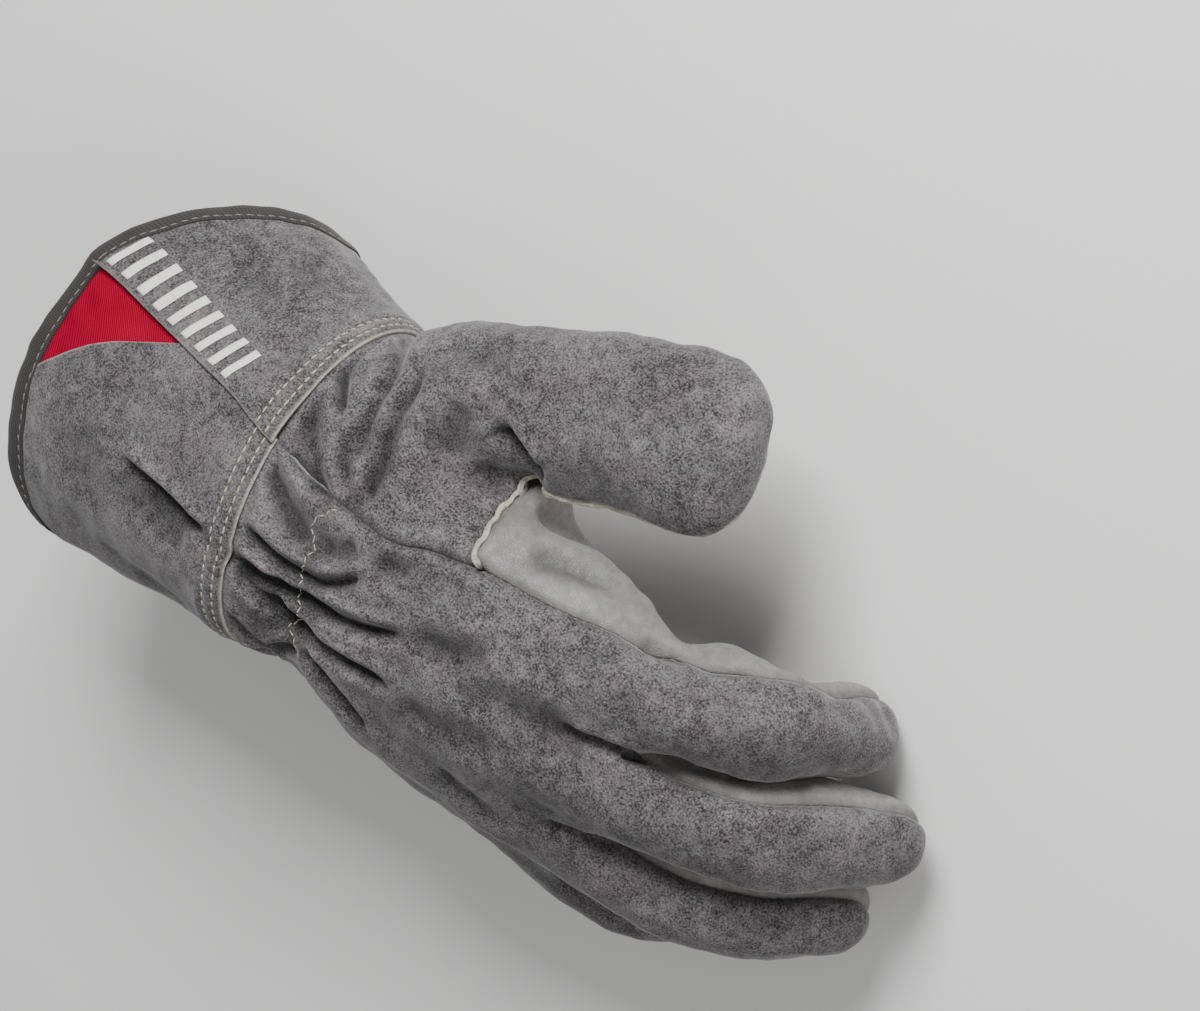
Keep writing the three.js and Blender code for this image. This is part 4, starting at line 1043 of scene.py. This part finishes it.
# The cuff: two suede panels round the wrist, lapped over the end of the hand and sewn there with two rows
# of stitches. The panel on the thumb side lies over the other one, and a red gusset fills the vent below.
RIM_TILT = 12
RIM_LEAN = 12
RIM_BULGE = 7
SEAM_GAP = 0.3
CUFF_LIFT = LEATHER + SEAM_GAP
CUFF_SEAM_COLUMN = 26
# How wide the upper panel's edge lies on the lower one, how far past the seam, and how high
OVER_WIDTH = 1.7
OVER_REACH = 0.3
OVER_LIFT = 1.5
# The vent between the panels: where its corner lies, its width in columns and the bow of its lower side
GUSSET_APEX = 0.43
GUSSET_CELLS = 6
GUSSET_BOW = 0.05
# The stitched rows: where they lie, and how far they draw the leather in
ROW_MM = (0.7, -2.2)
ROW_DEPTH = 0.42
ROW_WIDTH = 0.45
# The leather swells beside the rows, and is thin at its lapped edge: height, place and width
PUFFS = [(0.35, -0.75, 0.9), (0.3, -4.2, 1.4), (-0.85, LAP_FRONT, 1.0)]
CUFF_BUMPS = [(0.42, 30, 5), (0.2, 11, 6)]
ACROSS_CUFF = (2.2, 2.2, (0.5, 0.2), 1.6, 0.3)
# How much of the folds runs on to the lapped edge, and how strongly their height paints shade into the
# suede's valleys and a painted highlight, partly rubbed wear, onto its ridges
LAP_FOLDED = 0.15
CUFF_SHADE_AND_WEAR = 0.8
# The distance over which the ways out of the cuff's surface are measured
OUT_STEP = 0.5
# The cream of the cut edges: how wide it shows, and how much of it
LAP_CUT = (0.55, 1)
VENT_CUT = (0.6, 0.35)
OVER_CUT = (0.5, 0.3)


def cuff_length(column):
    """Length of the cuff along a column, from the seam to the rim."""
    angle = column_angle(np.full_like(column, -1.0), column)
    return CUFF_LENGTH - RIM_TILT * np.cos(angle) + RIM_LEAN * np.sin(angle) + RIM_BULGE * np.sin(angle) ** 2


def mm_at(part, column):
    """Distance from the cuff seam of a share of the way from the lapped edge to the rim."""
    return LAP_FRONT - (LAP_FRONT + cuff_length(column % COLUMNS)) * part


def part_at(mm, column):
    """Share of the way from the lapped edge to the rim of a distance from the cuff seam."""
    return (LAP_FRONT - mm) / (LAP_FRONT + cuff_length(column % COLUMNS))


def cuff_point(part, column, lift):
    """Point of the cuff at a share of the way from its lapped edge to its rim."""
    part, column = np.broadcast_arrays(part, column % COLUMNS)
    return tube_point(share(mm_at(part, column), column), column, lift)


TREE_ROWS = 90
tree_columns = np.linspace(0, COLUMNS, COLUMNS * 4, endpoint=False)
tree_rows = np.linspace(0, 1, TREE_ROWS)[:, None]
cuff_grid = cuff_point(tree_rows, tree_columns, CUFF_LIFT)
cuff_faces = grid_faces(len(tree_rows), len(tree_columns), ring=True)
cuff_tree = tree_of(cuff_grid.reshape(-1, 3), cuff_faces)
CUFF_CREASES = [
    ([(116, 454), (130, 467), (150, 486), (176, 512), (206, 538)], 2.9, 2.1, (2.0, 0.2), 1.4),
    ([(106, 474), (128, 492), (154, 512), (190, 542)], 2.9, 6.6, (0.3, 0.5), 1.9),
    ([(60, 420), (80, 470), (120, 520)], 1.0, 8.0, (0.4, 0.4), 2.0),
    ([(300, 232), (322, 268), (350, 300)], 1.3, 5.0, (0.5, 0.5), 2.0),
    ([(250, 250), (268, 290), (300, 322)], 1.0, 5.0, (0.4, 0.4), 2.0),
]
# Folds on the sides that the photograph doesn't show: distance from the cuff seam and column
CUFF_HIDDEN = [
    ([(-58, 17), (-40, 18), (-18, 18.6)], 1.8, 4.0, (0.7, 0.7), 2.0),
    ([(-60, 22.5), (-36, 22.0), (-12, 22.6)], 2.0, 3.6, (0.8, 0.8), 1.8),
    ([(-58, 31), (-38, 32), (-14, 32.4)], 2.2, 3.6, (0.9, 0.9), 1.7),
    ([(-50, 36.5), (-34, 36), (-16, 36.6)], 1.4, 4.0, (0.5, 0.5), 2.0),
]
# The rim is drawn a little rounder: place in the photograph, move to the picture's right and up, and reach
CUFF_PULLS = [((118, 272), -2.0, 3.0, 22), ((180, 245), -0.8, 2.4, 20), ((26, 450), 2.8, 0.0, 22)]
cuff_pulls = [(seen_at(cuff_tree, [pixel, pixel])[0], *pull) for pixel, *pull in CUFF_PULLS]
cuff_lines = [(seen_at(cuff_tree, pixels), *fold) for pixels, *fold in CUFF_CREASES]
cuff_lines += [(tube_line(corners), *fold) for corners, *fold in CUFF_HIDDEN]


def cuff_skin(part, column, lift=0):
    """Points of the cuff's surface with its folds and stitched rows, the ways out, and how far each moved."""
    part, column = np.broadcast_arrays(part, column)
    shape = part.shape
    part, column = part.ravel(), column.ravel()
    base = cuff_point(part, column, CUFF_LIFT)
    outs = unit(cuff_point(part, column, CUFF_LIFT + OUT_STEP) - base)
    moved = bumps(base, CUFF_BUMPS)
    for line, *fold in cuff_lines:
        moved += fold_along(base, outs, line, *fold)
    mm = mm_at(part, column)
    moved *= ease((LAP_FRONT - mm) / LAP + LAP_FOLDED)
    for row in ROW_MM:
        moved -= ROW_DEPTH * bell(mm - row, ROW_WIDTH)
    for height, at, width in PUFFS:
        moved += height * bell(mm - at, width)
    moved += fold_along(base, outs, tube_line(ACROSS_LAP), *ACROSS_CUFF)
    for spot, move_right, move_up, reach in cuff_pulls:
        base = base + (right * move_right + upward * move_up) * near_to(spot, base, reach)[:, None]
    places = base + outs * (moved + np.broadcast_to(lift, shape).ravel())[:, None]
    return places.reshape(*shape, 3), outs.reshape(*shape, 3), moved.reshape(shape)


def over_lift(column):
    """How far the upper panel's edge lies up on the lower panel."""
    return OVER_LIFT * ease((column - (COLUMNS - OVER_WIDTH)) / OVER_WIDTH)


def cut_edge(gap, width, cream):
    """How much of a cut edge's cream shows at a distance from it."""
    return cream * np.clip(1 - gap / width, 0, 1)


def add_sheet(name, part, columns, lift, cream=0, material=suede, slot="suede", thickness=LEATHER):
    """A sheet of the cuff on a grid of places; cream is how much cream shows by its other cut edges."""
    places, _, moved = cuff_skin(part, columns, lift)
    mm = mm_at(part, columns)
    faces = grid_faces(*part.shape)
    cloth = np.stack([np.broadcast_to(columns * COLUMN_MM, part.shape), mm], -1).reshape(-1, 2)[faces]
    cut = np.maximum(cut_edge(LAP_FRONT - mm, *LAP_CUT), cream)
    # The scaled fold height gives the suede its painted shade in the valleys and painted highlight on the
    # ridges
    values = {"height": moved.ravel() * CUFF_SHADE_AND_WEAR, "cut": cut.ravel()}
    add_piece(name + "_skin", places.reshape(-1, 3), faces, material, name, slot, thickness, values, cloth)


# Rows of a panel lie closest by the stitches; edge_mm is how far down the panel on the little side reaches
CELL_STEPS = 8
rows_mm = np.concatenate([np.arange(0, 9, 0.4), np.arange(9, 30, 0.8), np.linspace(30, 78, 45)])
rows_down = (rows_mm / rows_mm[-1])[:, None]
little_columns = np.linspace(0, CUFF_SEAM_COLUMN, CUFF_SEAM_COLUMN * CELL_STEPS + 1)
over = little_columns / GUSSET_CELLS
vent = GUSSET_APEX + (1 - GUSSET_APEX) * over + GUSSET_BOW * np.sin(np.pi * np.clip(over, 0, 1))
edge_mm = cuff_length(little_columns) * np.where(over < 1, vent, 1)
little_part = rows_down * part_at(-edge_mm, little_columns)
vent_gap = mm_at(little_part, little_columns) + edge_mm
vent_cream = np.where(over < 1, cut_edge(vent_gap, *VENT_CUT), 0)
add_sheet("cuff_little_side", little_part, little_columns, 0, vent_cream)
thumb_steps = (COLUMNS - CUFF_SEAM_COLUMN) * CELL_STEPS + 4
thumb_columns = np.linspace(CUFF_SEAM_COLUMN, COLUMNS + OVER_REACH, thumb_steps)
thumb_part = np.repeat(rows_down, thumb_steps, axis=1)
over_cream = cut_edge((thumb_columns[-1] - thumb_columns) * COLUMN_MM, *OVER_CUT)
add_sheet("cuff_thumb_side", thumb_part, thumb_columns, over_lift(thumb_columns), over_cream)

# The gusset: a triangle of red ribbed textile, sewn in from below so that the cuff opens wider at its rim.
# It lies a little deeper than the suede round it, and runs on under both its edges.
GUSSET_SINK = 0.9
GUSSET_UNDER = 0.8
GUSSET_ROWS = 44
GUSSET_THICKNESS = 1.2
RED_DARK = (0.18, 0.0, 0.012, 1)
RED_LIGHT = (0.38, 0.0, 0.03, 1)
RED_WORN = (0.2, 0.0, 0.005, 1)
red, tree, shader, place = finish_of("red_textile", 0.8, 0.0, 0.08)
goods = add_node(tree, "ShaderNodeUVMap", uv_map="cloth").outputs[0]
turned = add_node(tree, "ShaderNodeMapping", {"Vector": goods, "Rotation": (0, 0, 0.7)}).outputs[0]
feeds = {"Vector": turned, "Scale": 480, "Distortion": 0.6, "Detail": 1.0}
ribs = add_node(tree, "ShaderNodeTexWave", feeds).outputs[1]
weave = sum_of(tree, ribs, 0.7, noise(tree, goods, 1800, 2.0), 0.4)
color = mix(tree, spread(tree, weave, 0.1, 0.95), RED_DARK, RED_LIGHT)
color = mix(tree, spread(tree, noise(tree, goods, 60, 2.0), 0.35, 0.7, 0, 0.35), color, RED_WORN)
put(tree, shader, color, weave, 0.5, 0.00035)
gusset_columns = np.linspace(-0.2, GUSSET_CELLS, GUSSET_CELLS * CELL_STEPS + 1)
gusset_edge = np.interp(gusset_columns, little_columns, edge_mm) - GUSSET_UNDER
gusset_from = part_at(-gusset_edge, gusset_columns)
gusset_part = gusset_from + (1 - gusset_from) * np.linspace(0, 1, GUSSET_ROWS)[:, None]
gusset = (gusset_part, gusset_columns, -GUSSET_SINK)
add_sheet("cuff_gusset", *gusset, material=red, slot="red_textile", thickness=GUSSET_THICKNESS)

# The binding: a woven tape folded over the cuff's rim and sewn through near its edge. The stitches draw a
# groove along it.
TAPE = 0.7
TAPE_LEG = 6.4
TAPE_STITCH = 1.4
TAPE_COLUMNS = 480
TAPE_DARK = (0.013, 0.0113, 0.0105, 1)
TAPE_LIGHT = (0.048, 0.041, 0.0378, 1)
TAPE_SOILED = (0.022, 0.019, 0.018, 1)
# It steps up over the upper panel's edge, and lies lower on the gusset: how far, and over how many columns
TAPE_STEP = 0.75
TAPE_STEP_OVER = 0.9
TAPE_SINK = 0.5
TAPE_SINK_OVER = 1.2
TAPE_SINK_END = GUSSET_CELLS + 0.6
# Round the tape's section: how far in from the rim, and out from the leather
tape_section = np.array([
    (TAPE_LEG, 0.05), (TAPE_LEG - 0.25, TAPE * 0.8), (TAPE_LEG - 1.1, TAPE * 0.82),
    (TAPE_LEG - TAPE_STITCH, TAPE * 0.62), (TAPE_LEG - 1.7, TAPE * 0.85), (2.0, TAPE * 1.15),
    (0.6, TAPE * 1.1), (-0.3, TAPE * 0.6), (-TAPE, -0.4), (-TAPE, -1.2), (-0.3, -LEATHER - TAPE * 0.6),
    (0.6, -LEATHER - TAPE), (TAPE_LEG, -LEATHER - TAPE), (TAPE_LEG, -0.8),
])
tape_columns = np.linspace(0, COLUMNS, TAPE_COLUMNS, endpoint=False)
step_down = ease(1 - tape_columns / TAPE_STEP_OVER)
step_up = over_lift(tape_columns) * TAPE_STEP + TAPE_STEP * OVER_LIFT * step_down
sink = ease(tape_columns / TAPE_SINK_OVER) * ease((TAPE_SINK_END - tape_columns) / TAPE_SINK_OVER)
sink = -TAPE_SINK * sink


def tape_line(back, out):
    """A line round the rim at a distance in from it and out from the leather, with the ways out."""
    part = part_at(back - cuff_length(tape_columns), tape_columns)
    return cuff_skin(part, tape_columns, out + step_up + sink)[:2]


tape_ring = np.array([tape_line(back, out)[0] for back, out in tape_section])
faces = np.roll(grid_faces(len(tape_section), TAPE_COLUMNS, ring=True, closed=True), 1, axis=1)
across_mm = lengths_to(np.vstack([tape_section, tape_section[:1]]))
r, c = np.divmod(np.arange(len(faces)), TAPE_COLUMNS)
cloth_along = np.stack([c, c, c + 1, c + 1], -1) * GIRTH / TAPE_COLUMNS
cloth_across = across_mm[np.stack([r, r + 1, r + 1, r], -1)]
tape, tree, shader, place = finish_of("binding_tape", 0.8, 0.15, 0.3)
goods = add_node(tree, "ShaderNodeUVMap", uv_map="cloth").outputs[0]
feeds = {"Vector": goods, "Scale": 450, "Distortion": 0.4}
ribs = add_node(tree, "ShaderNodeTexWave", feeds, bands_direction="X").outputs[1]
picks = add_node(tree, "ShaderNodeTexWave", {**feeds, "Scale": 380}, bands_direction="Y").outputs[1]
weave = sum_of(tree, ribs, 0.55, picks, 0.45)
soiled = spread(tree, noise(tree, goods, 120, 3.0), 0.4, 0.7, 0, 0.5)
put(tree, shader, mix(tree, soiled, mix(tree, weave, TAPE_DARK, TAPE_LIGHT), TAPE_SOILED), weave, 0.6, 0.0003)
cloth = np.stack([cloth_along, cloth_across], -1)
places = tape_ring.reshape(-1, 3)
add_piece("cuff_binding_tape", places, faces, tape, "cuff_binding", "binding_tape", cloth=cloth)

# The vein patch: a pointed tongue of grain leather from the palm over the cuff, against burns on the wrist.
# It is pressed down at its edge and along its outer row of stitches.
PATCH_MIDDLE = 24
PATCH_END = 0.56
PATCH_LENGTH = LAP_FRONT + PATCH_END * cuff_length(np.array(float(PATCH_MIDDLE)))
PATCH_THICKNESS = LEATHER - 0.2
PATCH_LIFT = LEATHER + 0.2
PATCH_EDGE = 0.5
PATCH_EDGE_WIDTH = 0.8
PATCH_GROOVE = 0.35
PATCH_GROOVE_AT = 2.2
PATCH_GROOVE_WIDTH = 0.5
# share of the way to its point, half its width in columns
PATCH_ROWS = [
    (0, 3.2), (0.12, 3.2), (0.3, 2.7), (0.5, 2.0),
    (0.7, 1.25), (0.88, 0.62), (0.97, 0.25), (1, 0.05),
]


def patch_half(down):
    """Half the patch's width at a share of the way to its point."""
    return np.interp(down, *np.array(PATCH_ROWS).T)


patch_down = np.linspace(0, 1, 70)
patch_across = np.linspace(-1, 1, 40)
half = patch_half(patch_down)[:, None]
patch_columns = PATCH_MIDDLE + half * patch_across
patch_part = part_at(LAP_FRONT - patch_down[:, None] * PATCH_LENGTH, patch_columns)
edge_gap = (1 - np.abs(patch_across)) * half * COLUMN_MM
patch_lift = PATCH_LIFT - PATCH_EDGE * bell(edge_gap, PATCH_EDGE_WIDTH)
patch_lift = patch_lift - PATCH_GROOVE * bell(edge_gap - PATCH_GROOVE_AT, PATCH_GROOVE_WIDTH)
places, _, moved = cuff_skin(patch_part, patch_columns, patch_lift)
patch = (places.reshape(-1, 3), grid_faces(*patch_columns.shape), grain, "vein_patch", "grain_leather")
add_piece("vein_patch_tongue", *patch, PATCH_THICKNESS, {"height": moved.ravel()})

# The bars: plain white bars printed on the cuff beside the edge of its upper panel. They are a skin of
# paint over the suede's folds, slanted and a little rubbed off.
BAR_COUNT = 9
BAR_START = -75
BAR_GAP = 7.0
BAR_WIDTH = 3.0
BAR_SLANT = 3.0
BAR_NEAR = 1.9
BAR_LONG = 7.6
BAR_THICKNESS = 0.16
BAR_POINTS = (6, 13)
BAR_DULL = (0.6, 0.59, 0.57, 1)
BAR_WHITE = (0.78, 0.77, 0.75, 1)
BAR_RUBBED = (0.3, 0.29, 0.29, 1)
white, tree, shader, place = finish_of("white_print", 0.55, 0.0, 0.4)
crackle = noise(tree, place, 1300, 3.0, 0.7)
rubbed = spread(tree, noise(tree, place, 500, 3.0, 0.6), 0.6, 0.75, 0, 0.5)
color = mix(tree, spread(tree, crackle, 0.3, 0.7), BAR_DULL, BAR_WHITE)
put(tree, shader, mix(tree, rubbed, color, BAR_RUBBED), crackle, 0.4, 0.0003)
bar_places, bar_faces = [], []
for bar in range(BAR_COUNT):
    along, across = np.meshgrid(*[np.linspace(0, 1, count) for count in BAR_POINTS], indexing="ij")
    mm = BAR_START + bar * BAR_GAP + along * BAR_WIDTH + across * BAR_SLANT
    columns = COLUMNS + OVER_REACH - (BAR_NEAR + across * BAR_LONG) / COLUMN_MM
    places, _, _ = cuff_skin(part_at(mm, columns), columns, over_lift(columns) + BAR_THICKNESS)
    bar_places.append(places.reshape(-1, 3))
    bar_faces.append(grid_faces(*BAR_POINTS)[:, ::-1] + bar * mm.size)
places, faces = np.concatenate(bar_places), np.concatenate(bar_faces)
add_piece("cuff_bars", places, faces, white, None, "raw_edge", BAR_THICKNESS + 0.1)

# The stitches: thick cream thread in two rows along the lapped edge, round the patch and zigzag over the
# elastic; finer ones close the fingers and hold the binding. Each is a long narrow ball, partly sunk into the
# leather.
row_inputs = {"Geometry": "Geometry", "Length": "Float", "Width": "Float", "Finish": "Material"}
row_tree, given, made = new_group("sewn_row", row_inputs, {"Geometry": "Geometry"}, "GeometryNodeTree")
feeds = {"Segments": 8, "Rings": 6, "Radius": 0.5}
ball = add_node(row_tree, "GeometryNodeMeshUVSphere", feeds).outputs["Mesh"]
feeds = {0: given["Length"], 1: given["Width"], 2: given["Width"]}
size = add_node(row_tree, "ShaderNodeCombineXYZ", feeds).outputs[0]
stitch = add_node(row_tree, "GeometryNodeTransform", {"Geometry": ball, "Scale": size}).outputs[0]
turn = None
for name, axis, pivot in (("out", "Z", "AUTO"), ("along", "X", "Z")):
    way = add_node(row_tree, "GeometryNodeInputNamedAttribute", {"Name": name}, data_type="FLOAT_VECTOR")
    feeds = {"Vector": way.outputs[0], **({"Rotation": turn} if turn else {})}
    turned = add_node(row_tree, "FunctionNodeAlignRotationToVector", feeds, axis=axis, pivot_axis=pivot)
    turn = turned.outputs[0]
feeds = {"Points": given["Geometry"], "Instance": stitch, "Rotation": turn}
sewn = add_node(row_tree, "GeometryNodeInstanceOnPoints", feeds).outputs[0]
sewn = add_node(row_tree, "GeometryNodeRealizeInstances", {"Geometry": sewn}).outputs[0]
sewn = add_node(row_tree, "GeometryNodeSetShadeSmooth", {"Geometry": sewn}).outputs[0]
feeds = {"Geometry": sewn, "Material": given["Finish"]}
sewn = add_node(row_tree, "GeometryNodeSetMaterial", feeds).outputs[0]
row_tree.links.new(sewn, made["Geometry"])


def thread_finish(name, dark, light):
    """Twisted thread between a dark and a light colour."""
    material, tree, shader, place = finish_of(name, 0.7, 0.1, 0.3)
    twist = noise(tree, place, 2200, 2.0, 0.6)
    put(tree, shader, mix(tree, spread(tree, twist, 0.35, 0.65), (*dark, 1), (*light, 1)), twist, 0.4, 0.0002)
    return material


SHORTEST_SEAM = 30
# The patch's rows: how far in from its edge, and where they start and end on the way to its point
PATCH_INSETS = (1.6, 4.0)
PATCH_LINE_START = 0.06
PATCH_LINE_WIDE = 0.9
PATCH_LINE_END = 0.93
PATCH_LINE_SHORTER = 0.03
PATCH_LINE_POINTS = 60
PATCH_LINE_HALF = 0.05
cream_thread = thread_finish("cream_thread", (0.27, 0.24, 0.17), (0.56, 0.505, 0.38))
grey_thread = thread_finish("grey_thread", (0.09, 0.08, 0.07), (0.22, 0.2, 0.18))


def sew(name, lines, gap, length, width, thread, zigzag=0.0):
    """Sews rows of stitches along lines of (points, ways out); zigzag turns them left and right by turns."""
    places, alongs, outs = [], [], []
    for line, normals in lines:
        spots, where = spaced(line, gap)
        out = unit(between(where, lengths_to(line), normals))
        ahead = unit(np.gradient(spots, axis=0))
        if zigzag:
            turn = np.where(np.arange(len(spots)) % 2, 1.0, -1.0)[:, None]
            ahead = unit(ahead + np.cross(out, ahead) * zigzag * turn)
        places.append(spots)
        alongs.append(ahead)
        outs.append(out)
    mesh = bpy.data.meshes.new(name)
    mesh.from_pydata(lay_down(np.concatenate(places)).tolist(), [], [])
    for key, vectors in (("along", alongs), ("out", outs)):
        turned = np.concatenate(vectors) @ REST_TURN.T
        mesh.attributes.new(key, "FLOAT_VECTOR", "POINT").data.foreach_set("vector", turned.ravel())
    piece = new_object(name, mesh)
    rows = piece.modifiers.new("rows", "NODES")
    rows.node_group = row_tree
    sockets = {item.name: item.identifier for item in row_tree.interface.items_tree if item.in_out == "INPUT"}
    rows[sockets["Length"]] = length * MM
    rows[sockets["Width"]] = width * MM
    rows[sockets["Finish"]] = thread
    plain_mesh(piece)
    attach(piece, "root")


# Each call gives the distance between stitches, their length and their width
round_columns = np.linspace(0, COLUMNS, 600)
row_lift = over_lift(round_columns) + 0.1
lap_rows = [cuff_skin(part_at(mm, round_columns), round_columns, row_lift)[:2] for mm in ROW_MM]
sew("lap_stitches", lap_rows, 3.0, 2.5, 0.62, cream_thread)
sew("binding_stitches", [tape_line(TAPE_LEG - TAPE_STITCH, TAPE * 0.66)], 3.1, 2.5, 0.5, grey_thread)
patch_lines = []
for inset in PATCH_INSETS:
    half = patch_half(np.linspace(PATCH_LINE_START, PATCH_LINE_WIDE, PATCH_LINE_POINTS))
    half = np.maximum(half - inset / COLUMN_MM, PATCH_LINE_HALF)
    down = np.linspace(PATCH_LINE_START, PATCH_LINE_END - inset * PATCH_LINE_SHORTER, PATCH_LINE_POINTS)
    columns = np.concatenate([PATCH_MIDDLE - half, PATCH_MIDDLE + half[::-1]])
    part = part_at(LAP_FRONT - np.concatenate([down, down[::-1]]) * PATCH_LENGTH, columns)
    patch_lines.append(cuff_skin(part, columns, LEATHER + 0.1)[:2])
sew("patch_stitches", patch_lines, 3.0, 2.4, 0.65, cream_thread)


def on_skin(line, lift):
    """Points of a line moved onto the folded skin, with the ways out there."""
    places, outs = [], []
    for spot in line:
        place, normal, _, _ = skin_tree.find_nearest(spot)
        places.append(np.array(place) + np.array(normal) * lift)
        outs.append(np.array(normal))
    return np.array(places), np.array(outs)


elastic_spots = spaced(seen_at(skin_tree, ELASTIC), 0.8)[0]
sew("elastic_stitches", [on_skin(elastic_spots, 0.08)], 2.2, 2.2, 0.38, cream_thread, zigzag=0.5)
side_seams = [chain for chain in seam_chains(*SIDE_SEAMS) if len(chain) >= SHORTEST_SEAM]
finger_rows = [on_skin(spaced(skin[chain], 0.8)[0], 0.0) for chain in side_seams]
sew("finger_stitches", finger_rows, 2.6, 1.1, 0.3, grey_thread)

# The studio: a plain pale floor and soft light from above the thumb, with a weaker lamp by the fingertips
# and an even pale sky. None of it belongs to the glove.
FLOOR_SIZE = 40
FLOOR_DROP = 0.0001
FLOOR_PALE = (0.8, 0.79, 0.78, 1)
WORLD_LIGHT = 0.315
# name, place, power and size
LAMPS = [("key", (-0.3, 0.85, 0.75), 22, 0.5), ("fill", (0.9, 0.1, 0.7), 4.5, 1.0)]
bpy.ops.mesh.primitive_plane_add(size=FLOOR_SIZE, location=(0, 0, -FLOOR_DROP))
floor = bpy.context.object
floor.name = "floor"
pale, _, shader, _ = finish_of("pale_floor", 0.9)
shader.inputs["Base Color"].default_value = FLOOR_PALE
floor.data.materials.append(pale)
world = bpy.data.worlds.new("studio")
bpy.context.scene.world = world
world.use_nodes = True
world.node_tree.nodes["Background"].inputs["Color"].default_value = (1, 1, 1, 1)
world.node_tree.nodes["Background"].inputs["Strength"].default_value = WORLD_LIGHT
for name, place, power, size in LAMPS:
    light_data = bpy.data.lights.new(name, "AREA")
    light_data.energy = power
    light_data.size = size
    light = new_object(name, light_data)
    light.location = place
    light.rotation_euler = (-Vector(place)).to_track_quat("-Z", "Y").to_euler()
